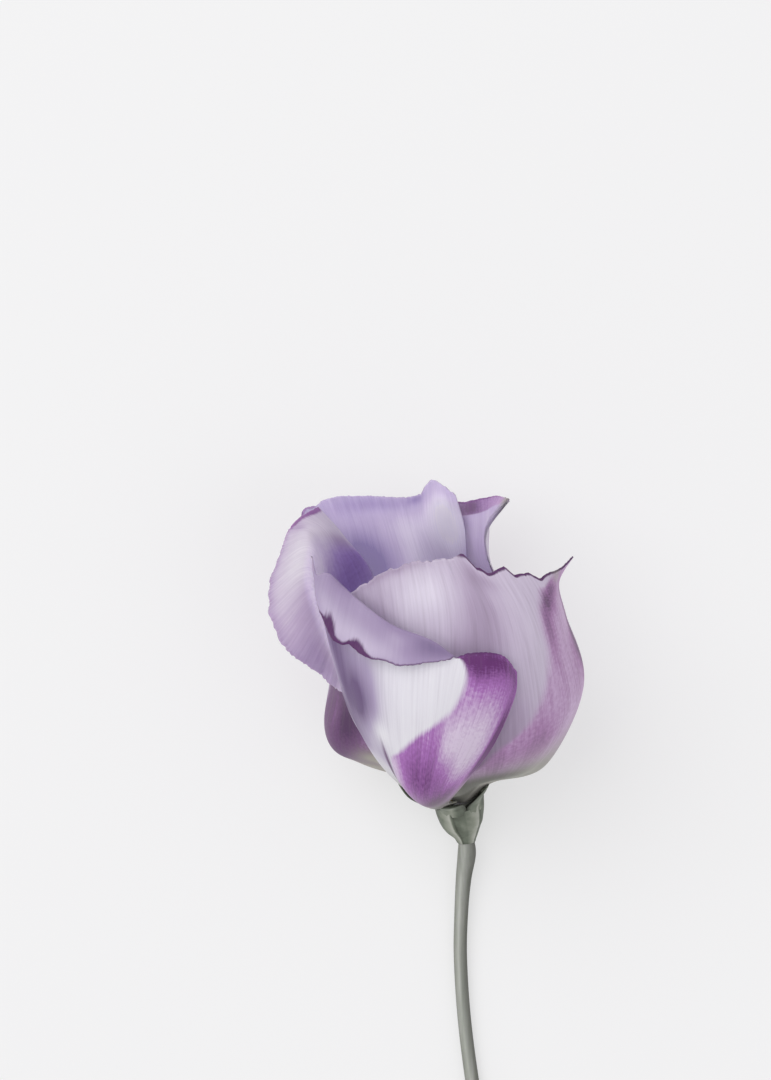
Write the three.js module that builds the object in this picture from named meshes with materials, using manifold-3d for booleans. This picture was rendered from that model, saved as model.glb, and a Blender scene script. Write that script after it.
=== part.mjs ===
// A cut lisianthus flower: one bloom on its bare stalk, lying on a surface.
// Millimetres, +Z up. Seen from straight above, +Y runs from the cut end of the
// stalk to the bloom. The origin lies on the surface, under the middle of the flower.
//
// The bloom is a cup of five petals. Its axis leans to the left and rises from the
// surface. Places in the cup are given as [angle, height, radius]: the angle round
// the axis in degrees (0 right, 90 the side that faces up, 180 left, 270 the side
// that it lies on), the height above the receptacle and the distance from the axis.

import * as THREE from 'three';
import { mergeVertices } from 'three/addons/utils/BufferGeometryUtils.js';
import Module from 'manifold-3d';

const wasm = await Module();
wasm.setup();

// Where the receptacle's middle is, and how the bloom leans
const BLOOM_BASE = new THREE.Vector3(7.16, 32.68, 9);
const LEAN_LEFT = THREE.MathUtils.degToRad(14.6);
const RISE = THREE.MathUtils.degToRad(35);

// Petals
const PETAL_THICKNESS = 0.6;
const STEPS_PER_STATION = [1, 2, 3, 3, 3, 4];
const STEPS_PER_RIB = 4;
const TOOTH_HEIGHT = 0.7;
const TEETH_ALONG_RIM = 9;

// Stalk and receptacle: [x, y, z, radius] from the receptacle's top to the cut end,
// counted from the middle of the receptacle
const STALK_SIDES = 12;
const STALK = [
  [0.1, -0.35, -0.25, 4.2],
  [0.3, -1.2, -0.9, 4.1],
  [0.6, -3.6, -2.3, 3.7],
  [1.1, -6.4, -3.5, 2.85],
  [1.8, -9.4, -4.5, 1.8],
  [2.0, -13.2, -5.4, 2.05],
  [1.3, -18.7, -6.2, 1.75],
  [0.8, -26, -6.8, 1.55],
  [0.6, -36, -7.2, 1.5],
  [1.5, -50, -7.4, 1.5],
  [3.6, -66, -7.45, 1.55],
  [6.8, -84, -7.45, 1.55],
  [10.6, -102, -7.45, 1.55],
  [14.4, -119, -7.45, 1.55],
  [18, -133, -7.45, 1.55],
];
const CUT_SLANT = 1.2;

// Calyx: a green cup round the receptacle, and its five awl-shaped lobes
const CALYX_SEGMENTS = 30;
const CALYX_LOBES = 5;
const FIRST_LOBE_SEGMENT = 2;
const CALYX_RINGS = 6;
const CALYX_BOTTOM = 0.27;
const CALYX_TOP = 0.012;
const SINUS_TOP = 0.085;
const CALYX_CLEARANCE = 0.6;
const CALYX_WALL = [0.55, 0.95, 0.95, 0.75, 0.65];
const AWL_SIDES = 5;
const AWL_ROOT_RADIUS = 0.75;
const AWL_TIP_RADIUS = 0.3;
const AWLS = [
  [[115, -1, 4.9], [121, 0.3, 7.1], [130, 4.4, 10.7], [136, 8.8, 14.1], [139, 10.8, 14.7], [141, 13.2, 15.2], [143, 15.7, 15.3], [145, 18.1, 15.8]],
  [[43, -1.2, 4.9], [40, -0.6, 5.9], [36, 0.5, 7.1], [32, 1.6, 8.4]],
  [[-29, -1.2, 4.9], [-33, -0.6, 6.4], [-38, -0.2, 8.6], [-42, 0.8, 10.8]],
  [[-101, -1.2, 4.7], [-101, -0.5, 6], [-101, 0, 7.4]],
  [[187, -1.2, 4.9], [190, -0.4, 6.6], [196, 1, 9.2], [203, 3, 12], [208, 5.4, 14.6]],
];

// Petals as ribs from the right margin to the left margin, seen from outside. Each
// rib runs through seven stations: claw, foot, hip, belly, neck, crest and edge.
const FRONT_RIBS = [
  [[116, 0.2, 4.2], [106, 4.5, 9], [102, 9.5, 15.6], [85, 18.5, 22.5], [70, 30, 29.5], [58, 41, 32.6], [54, 46.7, 32.8]],
  [[123, 0.2, 4.2], [108, 4.5, 9.5], [106, 9, 16], [93, 20, 26], [77, 34, 32], [63, 46.5, 33.5], [58, 52.7, 32]],
  [[129, 0.2, 4.2], [110, 4.5, 10], [109, 9, 16.5], [100, 21, 28], [87, 37, 32.5], [74, 50.5, 31.5], [69, 56, 29.9]],
  [[136, 0.2, 4.2], [112, 4.7, 10.2], [112, 9.3, 16.8], [105, 23, 30], [94, 43, 32], [83, 59, 26.5], [85, 56.9, 29.3]],
  [[142, 0.2, 4.2], [114, 5, 10.5], [115, 10, 17], [112, 25.5, 29.2], [109, 46.5, 29.5], [104, 62.4, 20.2], [107, 58.4, 28.1]],
  [[149, 0.2, 4.2], [118, 6, 11], [120, 11.5, 16.5], [122, 27, 24.8], [123, 47, 27], [131, 66.4, 16.4], [129, 60.9, 25.1]],
  [[155, 0.2, 4.2], [124, 7, 11.5], [128, 13, 16.3], [134, 27, 22.3], [136, 46, 24.5], [156, 70, 16.6], [152, 65.3, 21.9]],
  [[162, 0.2, 4.2], [131, 10, 12.8], [140, 20, 17], [143, 35, 22.3], [146, 50, 22.8], [163, 66, 19.5], [178, 72.4, 17.9]],
];
const RIGHT_RIBS = [
  [[6, 0.2, 4.2], [7, 2.4, 9.6], [6, 7.5, 21], [-6, 24, 31], [-6, 42, 31.5], [6, 51, 32.5], [14, 60.3, 38.3]],
  [[22, 0.2, 4.2], [27, 4, 9.5], [20, 7.5, 22], [10, 25, 33.4], [10, 43, 33.3], [14, 53, 33.8], [19, 60.3, 36.6]],
  [[38, 0.2, 4.2], [36, 5.3, 10], [34, 11, 22.5], [27, 26, 33.2], [26, 44, 34.1], [26, 54, 34], [27, 61.3, 33.5]],
  [[54, 0.2, 4.2], [45, 6, 9.5], [47, 13, 22], [45, 27, 32], [42, 46, 33.5], [38, 57, 31.3], [36, 66.3, 27.5]],
  [[71, 0.3, 4.1], [55, 6.8, 9.5], [62, 14.5, 20], [63, 27, 28.6], [58, 46, 30.6], [48, 58.5, 26.5], [42, 70.5, 19.6]],
  [[88, 0.5, 4], [68, 6.5, 9.2], [78, 14.5, 17.5], [82, 27, 25.3], [78, 46, 26.8], [62, 60, 20.5], [47, 70, 14.2]],
  [[105, 0.9, 3.7], [90, 6, 7.9], [94, 14, 15], [103, 27, 22.5], [103, 45, 22], [98, 59, 15.5], [93, 68.9, 8.2]],
  [[122, 1.3, 3.3], [118, 5.2, 6.4], [106, 14.5, 13], [120, 27, 18.5], [128, 43, 18], [140, 56, 15.5], [148, 64.5, 15]],
];
const BACK_RIGHT_RIBS = [
  [[-71, 0.2, 4.2], [-66, 2.3, 9.6], [-66, 10, 19], [-78, 25, 29.4], [-82, 42, 29.8], [-77, 52, 30.2], [-70, 57.5, 32.6]],
  [[-55, 0.4, 4], [-50, 2.3, 9.7], [-48, 8.5, 21], [-58, 26, 30.8], [-60, 43, 30], [-58, 51, 30.6], [-57, 56.8, 32.4]],
  [[-39, 0.6, 3.8], [-32, 2.2, 10], [-34, 8, 22], [-40, 26, 31.3], [-46, 43, 28], [-44, 53, 29], [-46, 59, 32.5]],
  [[-22, 0.9, 3.7], [-23, 2.2, 10], [-22, 8, 22], [-24, 26, 30.8], [-38, 43, 25.5], [-38, 56, 26.8], [-36, 61, 32.6]],
  [[-6, 1.1, 3.5], [-4, 2.8, 9.3], [-6, 8.5, 20], [-6, 25, 28.5], [-30, 41, 23.5], [-36, 56, 25], [-32, 61.4, 32.3]],
  [[10, 1.3, 3.3], [13, 4, 8], [12, 9.5, 18], [10, 24, 27.5], [-18, 37, 23], [-36, 53, 24.3], [-33, 60.5, 30.5]],
];
const BACK_RIBS = [
  [[216, 0.2, 4.2], [222, 2.6, 9.6], [232, 10, 18.5], [222, 25, 27.2], [214, 42, 23], [216, 57, 23], [224, 66, 28.2]],
  [[229, 0.4, 4], [234, 2.4, 9.7], [240, 10, 19.3], [233, 25, 28.8], [229, 43, 24.8], [231, 59, 23.5], [233, 68.7, 27.8]],
  [[241, 0.6, 3.9], [252, 2.3, 9.8], [248, 10, 20], [244, 25, 29.6], [244, 44, 25.5], [245, 60, 24], [246, 68, 27.6]],
  [[254, 0.8, 3.8], [261, 2.3, 9.8], [262, 10, 19.8], [262, 25, 28.6], [262, 44, 26], [262, 58.5, 25], [262, 65, 27.9]],
  [[267, 0.9, 3.6], [270, 2.3, 9.6], [276, 10, 17.7], [280, 25, 27], [280, 43, 27], [279, 56, 26.6], [279, 61.8, 28.3]],
  [[279, 1.1, 3.5], [284, 2.8, 9.1], [288, 10, 17], [294, 25, 26.5], [294, 41, 27.3], [291, 53, 28.2], [291, 62, 33.2]],
  [[292, 1.3, 3.3], [301, 3.7, 8.1], [298, 10.5, 17], [306, 24, 26.2], [303, 41, 27.2], [304, 52.5, 29.2], [300, 59.3, 32.2]],
];
const LEFT_RIBS = [
  [[157, 1.3, 3.4], [144, 8, 8], [136, 15.8, 12.4], [139, 26, 17.8], [140, 36, 18.5], [142, 43, 19.5], [145, 41.5, 21.3]],
  [[168, 1.3, 3.4], [156, 9, 8.8], [160, 16.5, 15.5], [154, 25, 20.3], [150, 38, 19.6], [152, 51, 19.8], [155, 45, 23.8]],
  [[178, 1.3, 3.4], [170, 9.3, 9.6], [176, 16, 19], [172, 24, 24], [168, 39, 19.6], [166, 59, 18.8], [168, 51.2, 28]],
  [[188, 1.3, 3.4], [187, 6.8, 9.8], [189, 12.5, 18], [189, 23, 24.8], [187, 40, 19.8], [184, 65, 18.8], [186, 59.3, 30]],
  [[199, 1.3, 3.4], [199, 4.8, 9.5], [205, 12, 17.5], [207, 23, 24.3], [205, 42, 20.3], [203, 68, 18.6], [202, 64, 28.8]],
  [[210, 1.3, 3.4], [213, 4.2, 9.2], [218, 12, 16.4], [223, 24, 24.8], [222, 44, 21.3], [220, 67, 20.5], [219, 69, 27]],
  [[220, 1.3, 3.4], [228, 4.4, 8.2], [238, 12, 15.8], [246, 26, 26], [255, 46, 23], [243, 61, 21.6], [238, 68.8, 26.2]],
];

// Pistil, with profiles as [radius, height]
const OVARY = [[0, 0], [1.4, 0], [1.6, 1.5], [2.6, 5], [2.3, 9], [1.1, 11.8], [0.75, 14], [0.75, 19], [0, 19]];
const STIGMA_LOBE = { radius: 1.6, height: 19.2, aside: 1.0, flatness: 0.7 };

// Stamens
const STAMENS = 5;
const STAMEN_RING = [[1.95, 0], [2.55, 0], [2.55, 0.8], [1.95, 0.8]];
const FILAMENT_RADIUS = 0.35;
const ANTHER = { length: 4.6, width: 1.5 };

// The three directions of the cup: to the right, towards the viewer and up its axis
const CUP_RIGHT = new THREE.Vector3(Math.cos(LEAN_LEFT), Math.sin(LEAN_LEFT), 0);
const CUP_FRONT = new THREE.Vector3(
  Math.sin(RISE) * Math.sin(LEAN_LEFT),
  -Math.sin(RISE) * Math.cos(LEAN_LEFT),
  Math.cos(RISE),
);
const CUP_AXIS = new THREE.Vector3(
  -Math.cos(RISE) * Math.sin(LEAN_LEFT),
  Math.cos(RISE) * Math.cos(LEAN_LEFT),
  Math.sin(RISE),
);

function inCup([angle, height, radius]) {
  const turn = THREE.MathUtils.degToRad(angle);
  return BLOOM_BASE.clone()
    .addScaledVector(CUP_RIGHT, radius * Math.cos(turn))
    .addScaledVector(CUP_FRONT, radius * Math.sin(turn))
    .addScaledVector(CUP_AXIS, height);
}

function smoothCurve(points) {
  return new THREE.CatmullRomCurve3(points, false, 'catmullrom', 0.5);
}

function solidMesh(name, geometry, color, roughness) {
  const material = new THREE.MeshStandardMaterial({ color, roughness, metalness: 0 });
  const mesh = new THREE.Mesh(geometry, material);
  mesh.name = name;
  return mesh;
}

// A closed geometry from rows of points. The rows close on themselves round the
// body, and its two ends are closed by a fan round the mean of the end row.
function loft(rows) {
  const count = rows[0].length;
  const positions = rows.flat().flatMap((p) => p.toArray());
  const index = [];
  for (let i = 0; i + 1 < rows.length; i += 1) {
    for (let j = 0; j < count; j += 1) {
      const a = i * count + j;
      const b = i * count + ((j + 1) % count);
      index.push(a, b, b + count, a, b + count, a + count);
    }
  }
  for (const [row, flip] of [[0, true], [rows.length - 1, false]]) {
    const middle = positions.length / 3;
    const mean = rows[row].reduce((sum, p) => sum.add(p), new THREE.Vector3());
    positions.push(...mean.divideScalar(count).toArray());
    for (let j = 0; j < count; j += 1) {
      const a = row * count + j;
      const b = row * count + ((j + 1) % count);
      index.push(...(flip ? [b, a, middle] : [a, b, middle]));
    }
  }
  const geometry = new THREE.BufferGeometry();
  geometry.setAttribute('position', new THREE.Float32BufferAttribute(positions, 3));
  geometry.setIndex(index);
  return geometry;
}

// A ring of points round a curve's point, in the plane across its direction. The
// ring starts straight above the curve.
function ringRound(middle, direction, radius, sides) {
  const side = direction.clone().cross(new THREE.Vector3(0, 0, 1)).normalize();
  const above = side.clone().cross(direction);
  return Array.from({ length: sides }, (_, j) => {
    const turn = (2 * Math.PI * j) / sides;
    return middle.clone()
      .addScaledVector(above, radius * Math.cos(turn))
      .addScaledVector(side, radius * Math.sin(turn));
  });
}

// Manifold-3d solids, for joining the parts of one grown piece
function toSolid(geometry) {
  const bare = geometry.clone();
  bare.deleteAttribute('normal');
  bare.deleteAttribute('uv');
  const merged = mergeVertices(bare, 1e-4);
  return new wasm.Manifold(new wasm.Mesh({
    numProp: 3,
    vertProperties: merged.getAttribute('position').array,
    triVerts: new Uint32Array(merged.getIndex().array),
  }));
}

function joined(geometries) {
  const solid = geometries.map(toSolid).reduce((whole, next) => whole.add(next));
  const mesh = solid.getMesh();
  const geometry = new THREE.BufferGeometry();
  geometry.setAttribute('position', new THREE.BufferAttribute(mesh.vertProperties, 3));
  geometry.setIndex(new THREE.BufferAttribute(mesh.triVerts, 1));
  return geometry;
}

// Petals. The middle surface is a net of smooth curves along and across the ribs.
// Its rim is cut into low teeth, and both faces keep the same triangles.
function toothAt(across) {
  const wander = Math.sin(2 * Math.PI * 3 * across);
  return TOOTH_HEIGHT * Math.sin(2 * Math.PI * TEETH_ALONG_RIM * across + wander);
}

function petalNet(ribs) {
  const curves = ribs.map((rib) => smoothCurve(rib.map(inCup)));
  const stations = [0];
  STEPS_PER_STATION.forEach((steps, station) => {
    for (let k = 1; k <= steps; k += 1) {
      stations.push((station + k / steps) / STEPS_PER_STATION.length);
    }
  });
  const width = (ribs.length - 1) * STEPS_PER_RIB;
  const rows = stations.map((along) => {
    const row = smoothCurve(curves.map((curve) => curve.getPoint(along)));
    return Array.from({ length: width + 1 }, (_, j) => row.getPoint(j / width));
  });
  const last = rows.length - 1;
  for (let j = 1; j < width; j += 1) {
    const outward = rows[last][j].clone().sub(rows[last - 1][j]).normalize();
    rows[last][j].addScaledVector(outward, toothAt(j / width));
  }
  return rows;
}

function petalFace(rows, offset) {
  const lastRow = rows.length - 1;
  const lastColumn = rows[0].length - 1;
  return rows.map((row, i) => row.map((point, j) => {
    const along = rows[Math.min(i + 1, lastRow)][j].clone().sub(rows[Math.max(i - 1, 0)][j]);
    const across = row[Math.min(j + 1, lastColumn)].clone().sub(row[Math.max(j - 1, 0)]);
    const outward = along.cross(across).normalize();
    return point.clone().addScaledVector(outward, offset);
  }));
}

function petal(name, ribs, color) {
  const net = petalNet(ribs);
  const outer = petalFace(net, PETAL_THICKNESS / 2);
  const inner = petalFace(net, -PETAL_THICKNESS / 2);
  const rows = net.length;
  const columns = net[0].length;
  // Where the petal bears on the surface it is pressed flat, at its full thickness
  for (let i = 0; i < rows; i += 1) {
    for (let j = 0; j < columns; j += 1) {
      if (outer[i][j].z < 0) {
        outer[i][j].z = 0;
        inner[i][j].z = Math.max(inner[i][j].z, PETAL_THICKNESS);
      }
    }
  }
  const positions = [...outer.flat(), ...inner.flat()].flatMap((p) => p.toArray());
  const at = (i, j, face) => face * rows * columns + i * columns + j;
  const index = [];
  for (let i = 0; i + 1 < rows; i += 1) {
    for (let j = 0; j + 1 < columns; j += 1) {
      for (const face of [0, 1]) {
        const [a, b, c, d] = [at(i, j, face), at(i + 1, j, face), at(i + 1, j + 1, face), at(i, j + 1, face)];
        index.push(...(face === 0 ? [a, b, c, a, c, d] : [a, c, b, a, d, c]));
      }
    }
  }
  const margin = (a, b, c, d) => index.push(a, b, c, a, c, d);
  for (let j = 0; j + 1 < columns; j += 1) {
    margin(at(0, j + 1, 0), at(0, j + 1, 1), at(0, j, 1), at(0, j, 0));
    margin(at(rows - 1, j, 0), at(rows - 1, j, 1), at(rows - 1, j + 1, 1), at(rows - 1, j + 1, 0));
  }
  for (let i = 0; i + 1 < rows; i += 1) {
    margin(at(i, 0, 0), at(i, 0, 1), at(i + 1, 0, 1), at(i + 1, 0, 0));
    margin(at(i + 1, columns - 1, 0), at(i + 1, columns - 1, 1), at(i, columns - 1, 1), at(i, columns - 1, 0));
  }
  const geometry = new THREE.BufferGeometry();
  geometry.setAttribute('position', new THREE.Float32BufferAttribute(positions, 3));
  geometry.setIndex(index);
  return solidMesh(name, geometry, color, 0.7);
}

// Stalk: one round stem that swells into the receptacle under the bloom
const stalkLine = smoothCurve(STALK.map(([x, y, z]) => new THREE.Vector3(x, y, z).add(BLOOM_BASE)));
const stalkRadius = smoothCurve(STALK.map((station) => new THREE.Vector3(station[3], 0, 0)));
const stalkRadiusAt = (t) => stalkRadius.getPoint(t).x;

function stalk() {
  const steps = (STALK.length - 1) * 2;
  const rows = Array.from({ length: steps + 1 }, (_, i) => {
    const t = i / steps;
    const direction = i === 0 ? CUP_AXIS.clone().negate() : stalkLine.getTangent(t);
    return ringRound(stalkLine.getPoint(t), direction, stalkRadiusAt(t), STALK_SIDES);
  });
  for (const point of rows[steps]) {
    point.y += CUT_SLANT * (point.z - BLOOM_BASE.z - STALK.at(-1)[2]);
  }
  return solidMesh('stem', loft(rows), 0x8f9a86, 0.65);
}

// Calyx: a cup wall whose rim dips between the lobes, with an awl on each lobe
function calyxWall() {
  const wall = smoothCurve(CALYX_WALL.map((thickness) => new THREE.Vector3(thickness, 0, 0)));
  const face = (outside) => Array.from({ length: CALYX_RINGS + 1 }, (_, ring) => (
    Array.from({ length: CALYX_SEGMENTS }, (__, j) => {
      const up = ring / CALYX_RINGS;
      const lobeTurn = ((j - FIRST_LOBE_SEGMENT) * CALYX_LOBES) / CALYX_SEGMENTS;
      const fromLobe = 2 * Math.abs(lobeTurn - Math.round(lobeTurn));
      const rim = THREE.MathUtils.lerp(CALYX_TOP, SINUS_TOP, fromLobe);
      const t = THREE.MathUtils.lerp(CALYX_BOTTOM, rim, up);
      const direction = stalkLine.getTangent(t);
      const radius = stalkRadiusAt(t) + CALYX_CLEARANCE + (outside ? wall.getPoint(up).x : 0);
      return ringRound(stalkLine.getPoint(t), direction, radius, CALYX_SEGMENTS)[j];
    })
  ));
  return [...face(true), ...face(false).reverse()];
}

function calyxCup() {
  const rows = calyxWall();
  const count = CALYX_SEGMENTS;
  const index = [];
  for (let i = 0; i < rows.length; i += 1) {
    const next = (i + 1) % rows.length;
    for (let j = 0; j < count; j += 1) {
      const k = (j + 1) % count;
      index.push(i * count + j, next * count + k, i * count + k);
      index.push(i * count + j, next * count + j, next * count + k);
    }
  }
  const geometry = new THREE.BufferGeometry();
  const positions = rows.flat().flatMap((p) => p.toArray());
  geometry.setAttribute('position', new THREE.Float32BufferAttribute(positions, 3));
  geometry.setIndex(index);
  return geometry;
}

function taperedTube(points, rootRadius, tipRadius, sides, stepsPerPoint) {
  const line = smoothCurve(points);
  const steps = (points.length - 1) * stepsPerPoint;
  return loft(Array.from({ length: steps + 1 }, (_, i) => {
    const t = i / steps;
    const radius = THREE.MathUtils.lerp(rootRadius, tipRadius, t);
    return ringRound(line.getPoint(t), line.getTangent(t), radius, sides);
  }));
}

function calyx() {
  const awls = AWLS.map((points) => (
    taperedTube(points.map(inCup), AWL_ROOT_RADIUS, AWL_TIP_RADIUS, AWL_SIDES, 2)
  ));
  return solidMesh('calyx', joined([calyxCup(), ...awls]), 0x7f8a74, 0.65);
}

// Turns a geometry made round +Y so that it stands on the receptacle
function onReceptacle(geometry) {
  const basis = new THREE.Matrix4().makeBasis(CUP_RIGHT, CUP_AXIS, CUP_FRONT);
  return geometry.applyMatrix4(basis.setPosition(BLOOM_BASE));
}

function pistil() {
  const body = new THREE.LatheGeometry(OVARY.map(([r, h]) => new THREE.Vector2(r, h)), 14);
  const lobes = [-1, 1].map((side) => {
    const lobe = new THREE.SphereGeometry(STIGMA_LOBE.radius, 12, 8);
    lobe.scale(1, STIGMA_LOBE.flatness, 1);
    return lobe.translate(side * STIGMA_LOBE.aside, STIGMA_LOBE.height, 0);
  });
  return solidMesh('pistil', onReceptacle(joined([body, ...lobes])), 0x9aa860, 0.55);
}

function stamens() {
  const closedRing = [...STAMEN_RING, STAMEN_RING[0]];
  const ring = new THREE.LatheGeometry(closedRing.map(([r, h]) => new THREE.Vector2(r, h)), 20);
  const pieces = [ring];
  for (let k = 0; k < STAMENS; k += 1) {
    const turn = (2 * Math.PI * (k + 0.5)) / STAMENS;
    const point = (radius, height) => (
      new THREE.Vector3(radius * Math.cos(turn), height, radius * Math.sin(turn))
    );
    const path = [point(2.2, 0.3), point(3.0, 4), point(4.3, 8), point(5.6, 12)];
    pieces.push(taperedTube(path, FILAMENT_RADIUS, FILAMENT_RADIUS, 5, 1));
    const anther = new THREE.SphereGeometry(0.5, 7, 5);
    anther.scale(ANTHER.width, ANTHER.length, ANTHER.width);
    anther.rotateZ(-0.5);
    anther.rotateY(-turn);
    pieces.push(anther.translate(...point(5.7, 12.6).toArray()));
  }
  return solidMesh('stamens', onReceptacle(joined(pieces)), 0xd9b84a, 0.7);
}

const flower = new THREE.Group();
flower.add(
  stalk(),
  calyx(),
  petal('petal_front', FRONT_RIBS, 0xd8cde4),
  petal('petal_right', RIGHT_RIBS, 0xcfc3da),
  petal('petal_back_right', BACK_RIGHT_RIBS, 0xc4b2d6),
  petal('petal_back', BACK_RIBS, 0xcbbfdc),
  petal('petal_left', LEFT_RIBS, 0xd6c9dd),
  pistil(),
  stamens(),
);

export default flower;
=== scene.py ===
# A cut lisianthus: one pale bloom with purple margins on its bare stalk. It lies on pale
# paper and is seen from straight above. The file follows the flower as it grows: stalk,
# calyx, five petals, pistil and stamens. Lengths are in millimetres until they are placed.
import math

import bmesh
import bpy
from mathutils import Matrix, Vector, noise


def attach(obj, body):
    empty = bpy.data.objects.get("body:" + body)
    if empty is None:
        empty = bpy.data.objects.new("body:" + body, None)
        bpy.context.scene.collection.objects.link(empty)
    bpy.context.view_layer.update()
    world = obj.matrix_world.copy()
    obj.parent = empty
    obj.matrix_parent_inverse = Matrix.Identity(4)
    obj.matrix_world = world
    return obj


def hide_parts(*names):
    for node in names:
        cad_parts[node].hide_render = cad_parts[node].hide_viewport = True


MM = 0.001

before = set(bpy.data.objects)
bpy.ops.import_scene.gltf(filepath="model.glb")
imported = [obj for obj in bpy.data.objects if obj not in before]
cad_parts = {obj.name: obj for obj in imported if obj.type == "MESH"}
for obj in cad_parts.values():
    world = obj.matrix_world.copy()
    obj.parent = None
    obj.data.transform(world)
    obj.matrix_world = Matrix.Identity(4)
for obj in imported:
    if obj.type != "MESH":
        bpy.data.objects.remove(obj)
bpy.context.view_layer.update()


# Paper, light and camera
# The flower lies on a wide sheet of matt pale paper under two large soft lamps, in a light
# tent. A long lens looks straight down on it, so nothing is foreshortened.
def linear(hex_colour):
    """The linear colour that an sRGB hex value stands for."""
    shares = [int(hex_colour[i : i + 2], 16) / 255 for i in (1, 3, 5)]
    return [c / 12.92 if c <= 0.04045 else ((c + 0.055) / 1.055) ** 2.4 for c in shares] + [1.0]


def add_node(tree, kind, values=None, links=None, stops=None, **settings):
    """Adds a shader node: its settings, the values of its sockets, the outputs that feed
    them and the stops of its colour ramp. Returns its outputs."""
    made = tree.nodes.new("ShaderNode" + kind)
    for name, setting in settings.items():
        setattr(made, name, setting)
    for socket, value in (values or {}).items():
        made.inputs[socket].default_value = value
    for socket, source in (links or {}).items():
        tree.links.new(source, made.inputs[socket])
    if stops:
        elements = made.color_ramp.elements
        while len(elements) < len(stops):
            elements.new(0.5)
        for element, (position, colour) in zip(elements, stops):
            element.position = position
            element.color = linear(colour)
    return made.outputs


def new_material(name):
    """An empty node material. Returns it and its tree."""
    material = bpy.data.materials.new(name)
    material.use_nodes = True
    material.node_tree.nodes.clear()
    return material, material.node_tree


PAPER_SIZE = 6.0
PAPER_COLOUR = "#a3a3a3"
GLOW_COLOUR = "#ffffff"
PAPER_GLOW = 0.545
PAPER_FIBRES_PER_MM = 0.9
TENT_COLOUR = "#f4f3f6"
TENT_STRENGTH = 0.6
LENS = 1000.0
SENSOR = 36.0
VIEW_WIDTH = 237.6 * MM
VIEW_CENTRE = (-8.79 * MM, 88.78 * MM)
SHARP_HEIGHT = 30 * MM

# Matt card, its fibres drawn coarse enough to show. A little light from behind keeps the
# shadows on it faint.
paper_material, tree = new_material("matt_pale_card")
place = add_node(tree, "TexCoord")["Object"]
fibre = add_node(tree, "TexNoise", {"Scale": PAPER_FIBRES_PER_MM / MM, "Detail": 3.0},
                 {"Vector": place})["Fac"]
fibre_bump = add_node(tree, "Bump", {"Strength": 0.02, "Distance": 0.0001}, {"Height": fibre})
paper_shader = add_node(
    tree,
    "BsdfPrincipled",
    {"Base Color": linear(PAPER_COLOUR), "Roughness": 0.95, "Specular IOR Level": 0.1,
     "Emission Color": linear(GLOW_COLOUR), "Emission Strength": PAPER_GLOW},
    {"Normal": fibre_bump[0]},
)
add_node(tree, "OutputMaterial", None, {"Surface": paper_shader[0]})

sheet = bmesh.new()
bmesh.ops.create_grid(sheet, x_segments=1, y_segments=1, size=PAPER_SIZE / 2)
paper_mesh = bpy.data.meshes.new("paper")
sheet.to_mesh(paper_mesh)
sheet.free()
paper = bpy.data.objects.new("paper", paper_mesh)
paper_mesh.materials.append(paper_material)
bpy.context.scene.collection.objects.link(paper)

world = bpy.data.worlds.new("light_tent")
world.use_nodes = True
world.node_tree.nodes["Background"].inputs["Color"].default_value = linear(TENT_COLOUR)
world.node_tree.nodes["Background"].inputs["Strength"].default_value = TENT_STRENGTH
bpy.context.scene.world = world

# Each lamp: its name, place, width in metres, watts and colour
LAMPS = [
    ("key_lamp", (-0.8, 0.6, 1.5), 1.5, 15.0, "#ffffff"),
    ("fill_lamp", (0.8, -0.5, 1.5), 1.2, 3.5, "#fbf8ff"),
]
for name, place_of_lamp, width, watts, colour in LAMPS:
    light = bpy.data.lights.new(name, "AREA")
    light.size = width
    light.energy = watts
    light.color = linear(colour)[:3]
    lamp = bpy.data.objects.new(name, light)
    lamp.location = place_of_lamp
    lamp.rotation_euler = (-Vector(place_of_lamp)).to_track_quat("-Z", "Y").to_euler()
    bpy.context.scene.collection.objects.link(lamp)

camera_data = bpy.data.cameras.new("camera")
camera_data.lens = LENS
camera_data.sensor_width = SENSOR
camera_data.clip_end = 100.0
camera = bpy.data.objects.new("camera", camera_data)
camera.location = (*VIEW_CENTRE, SHARP_HEIGHT + VIEW_WIDTH * LENS / SENSOR)
bpy.context.scene.collection.objects.link(camera)
bpy.context.scene.camera = camera
bpy.context.scene.view_settings.view_transform = "Standard"


# Stalk
# A bare round flower stalk with a faint wax bloom and shallow ribs. It swells into the
# receptacle, on which calyx, petals and organs sit, and was cut slanting with a knife.

# Each station of the stalk: right, up and forward of the bloom's base, and its radius
BLOOM_BASE = Vector((7.16, 32.68, 9))
STALK = [
    (0.1, -0.35, -0.25, 4.2),
    (0.3, -1.2, -0.9, 4.1),
    (0.6, -3.6, -2.3, 3.7),
    (1.1, -6.4, -3.5, 2.85),
    (1.8, -9.4, -4.5, 1.8),
    (2.0, -13.2, -5.4, 2.05),
    (1.3, -18.7, -6.2, 1.75),
    (0.8, -26, -6.8, 1.55),
    (0.6, -36, -7.2, 1.5),
    (1.5, -50, -7.4, 1.5),
    (3.6, -66, -7.45, 1.55),
    (6.8, -84, -7.45, 1.55),
    (10.6, -102, -7.45, 1.55),
    (14.4, -119, -7.45, 1.55),
    (18, -133, -7.45, 1.55),
]
STALK_SIDES = 40
STALK_STEPS = 168
STALK_RIBS = 5
RIB_DEPTH = 0.035
CUT_SLANT = 1.2
STEM_STREAKS_PER_MM = (0.9, 0.06, 0.9)
WAX_PATCHES_PER_MM = 0.16
WAX_COLOUR = "#b6b8b1"
LEAN_LEFT = math.radians(14.6)
RISE = math.radians(35)
CUP_RIGHT = Vector((math.cos(LEAN_LEFT), math.sin(LEAN_LEFT), 0))
CUP_FRONT = Vector((
    math.sin(RISE) * math.sin(LEAN_LEFT), -math.sin(RISE) * math.cos(LEAN_LEFT), math.cos(RISE)
))
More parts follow.
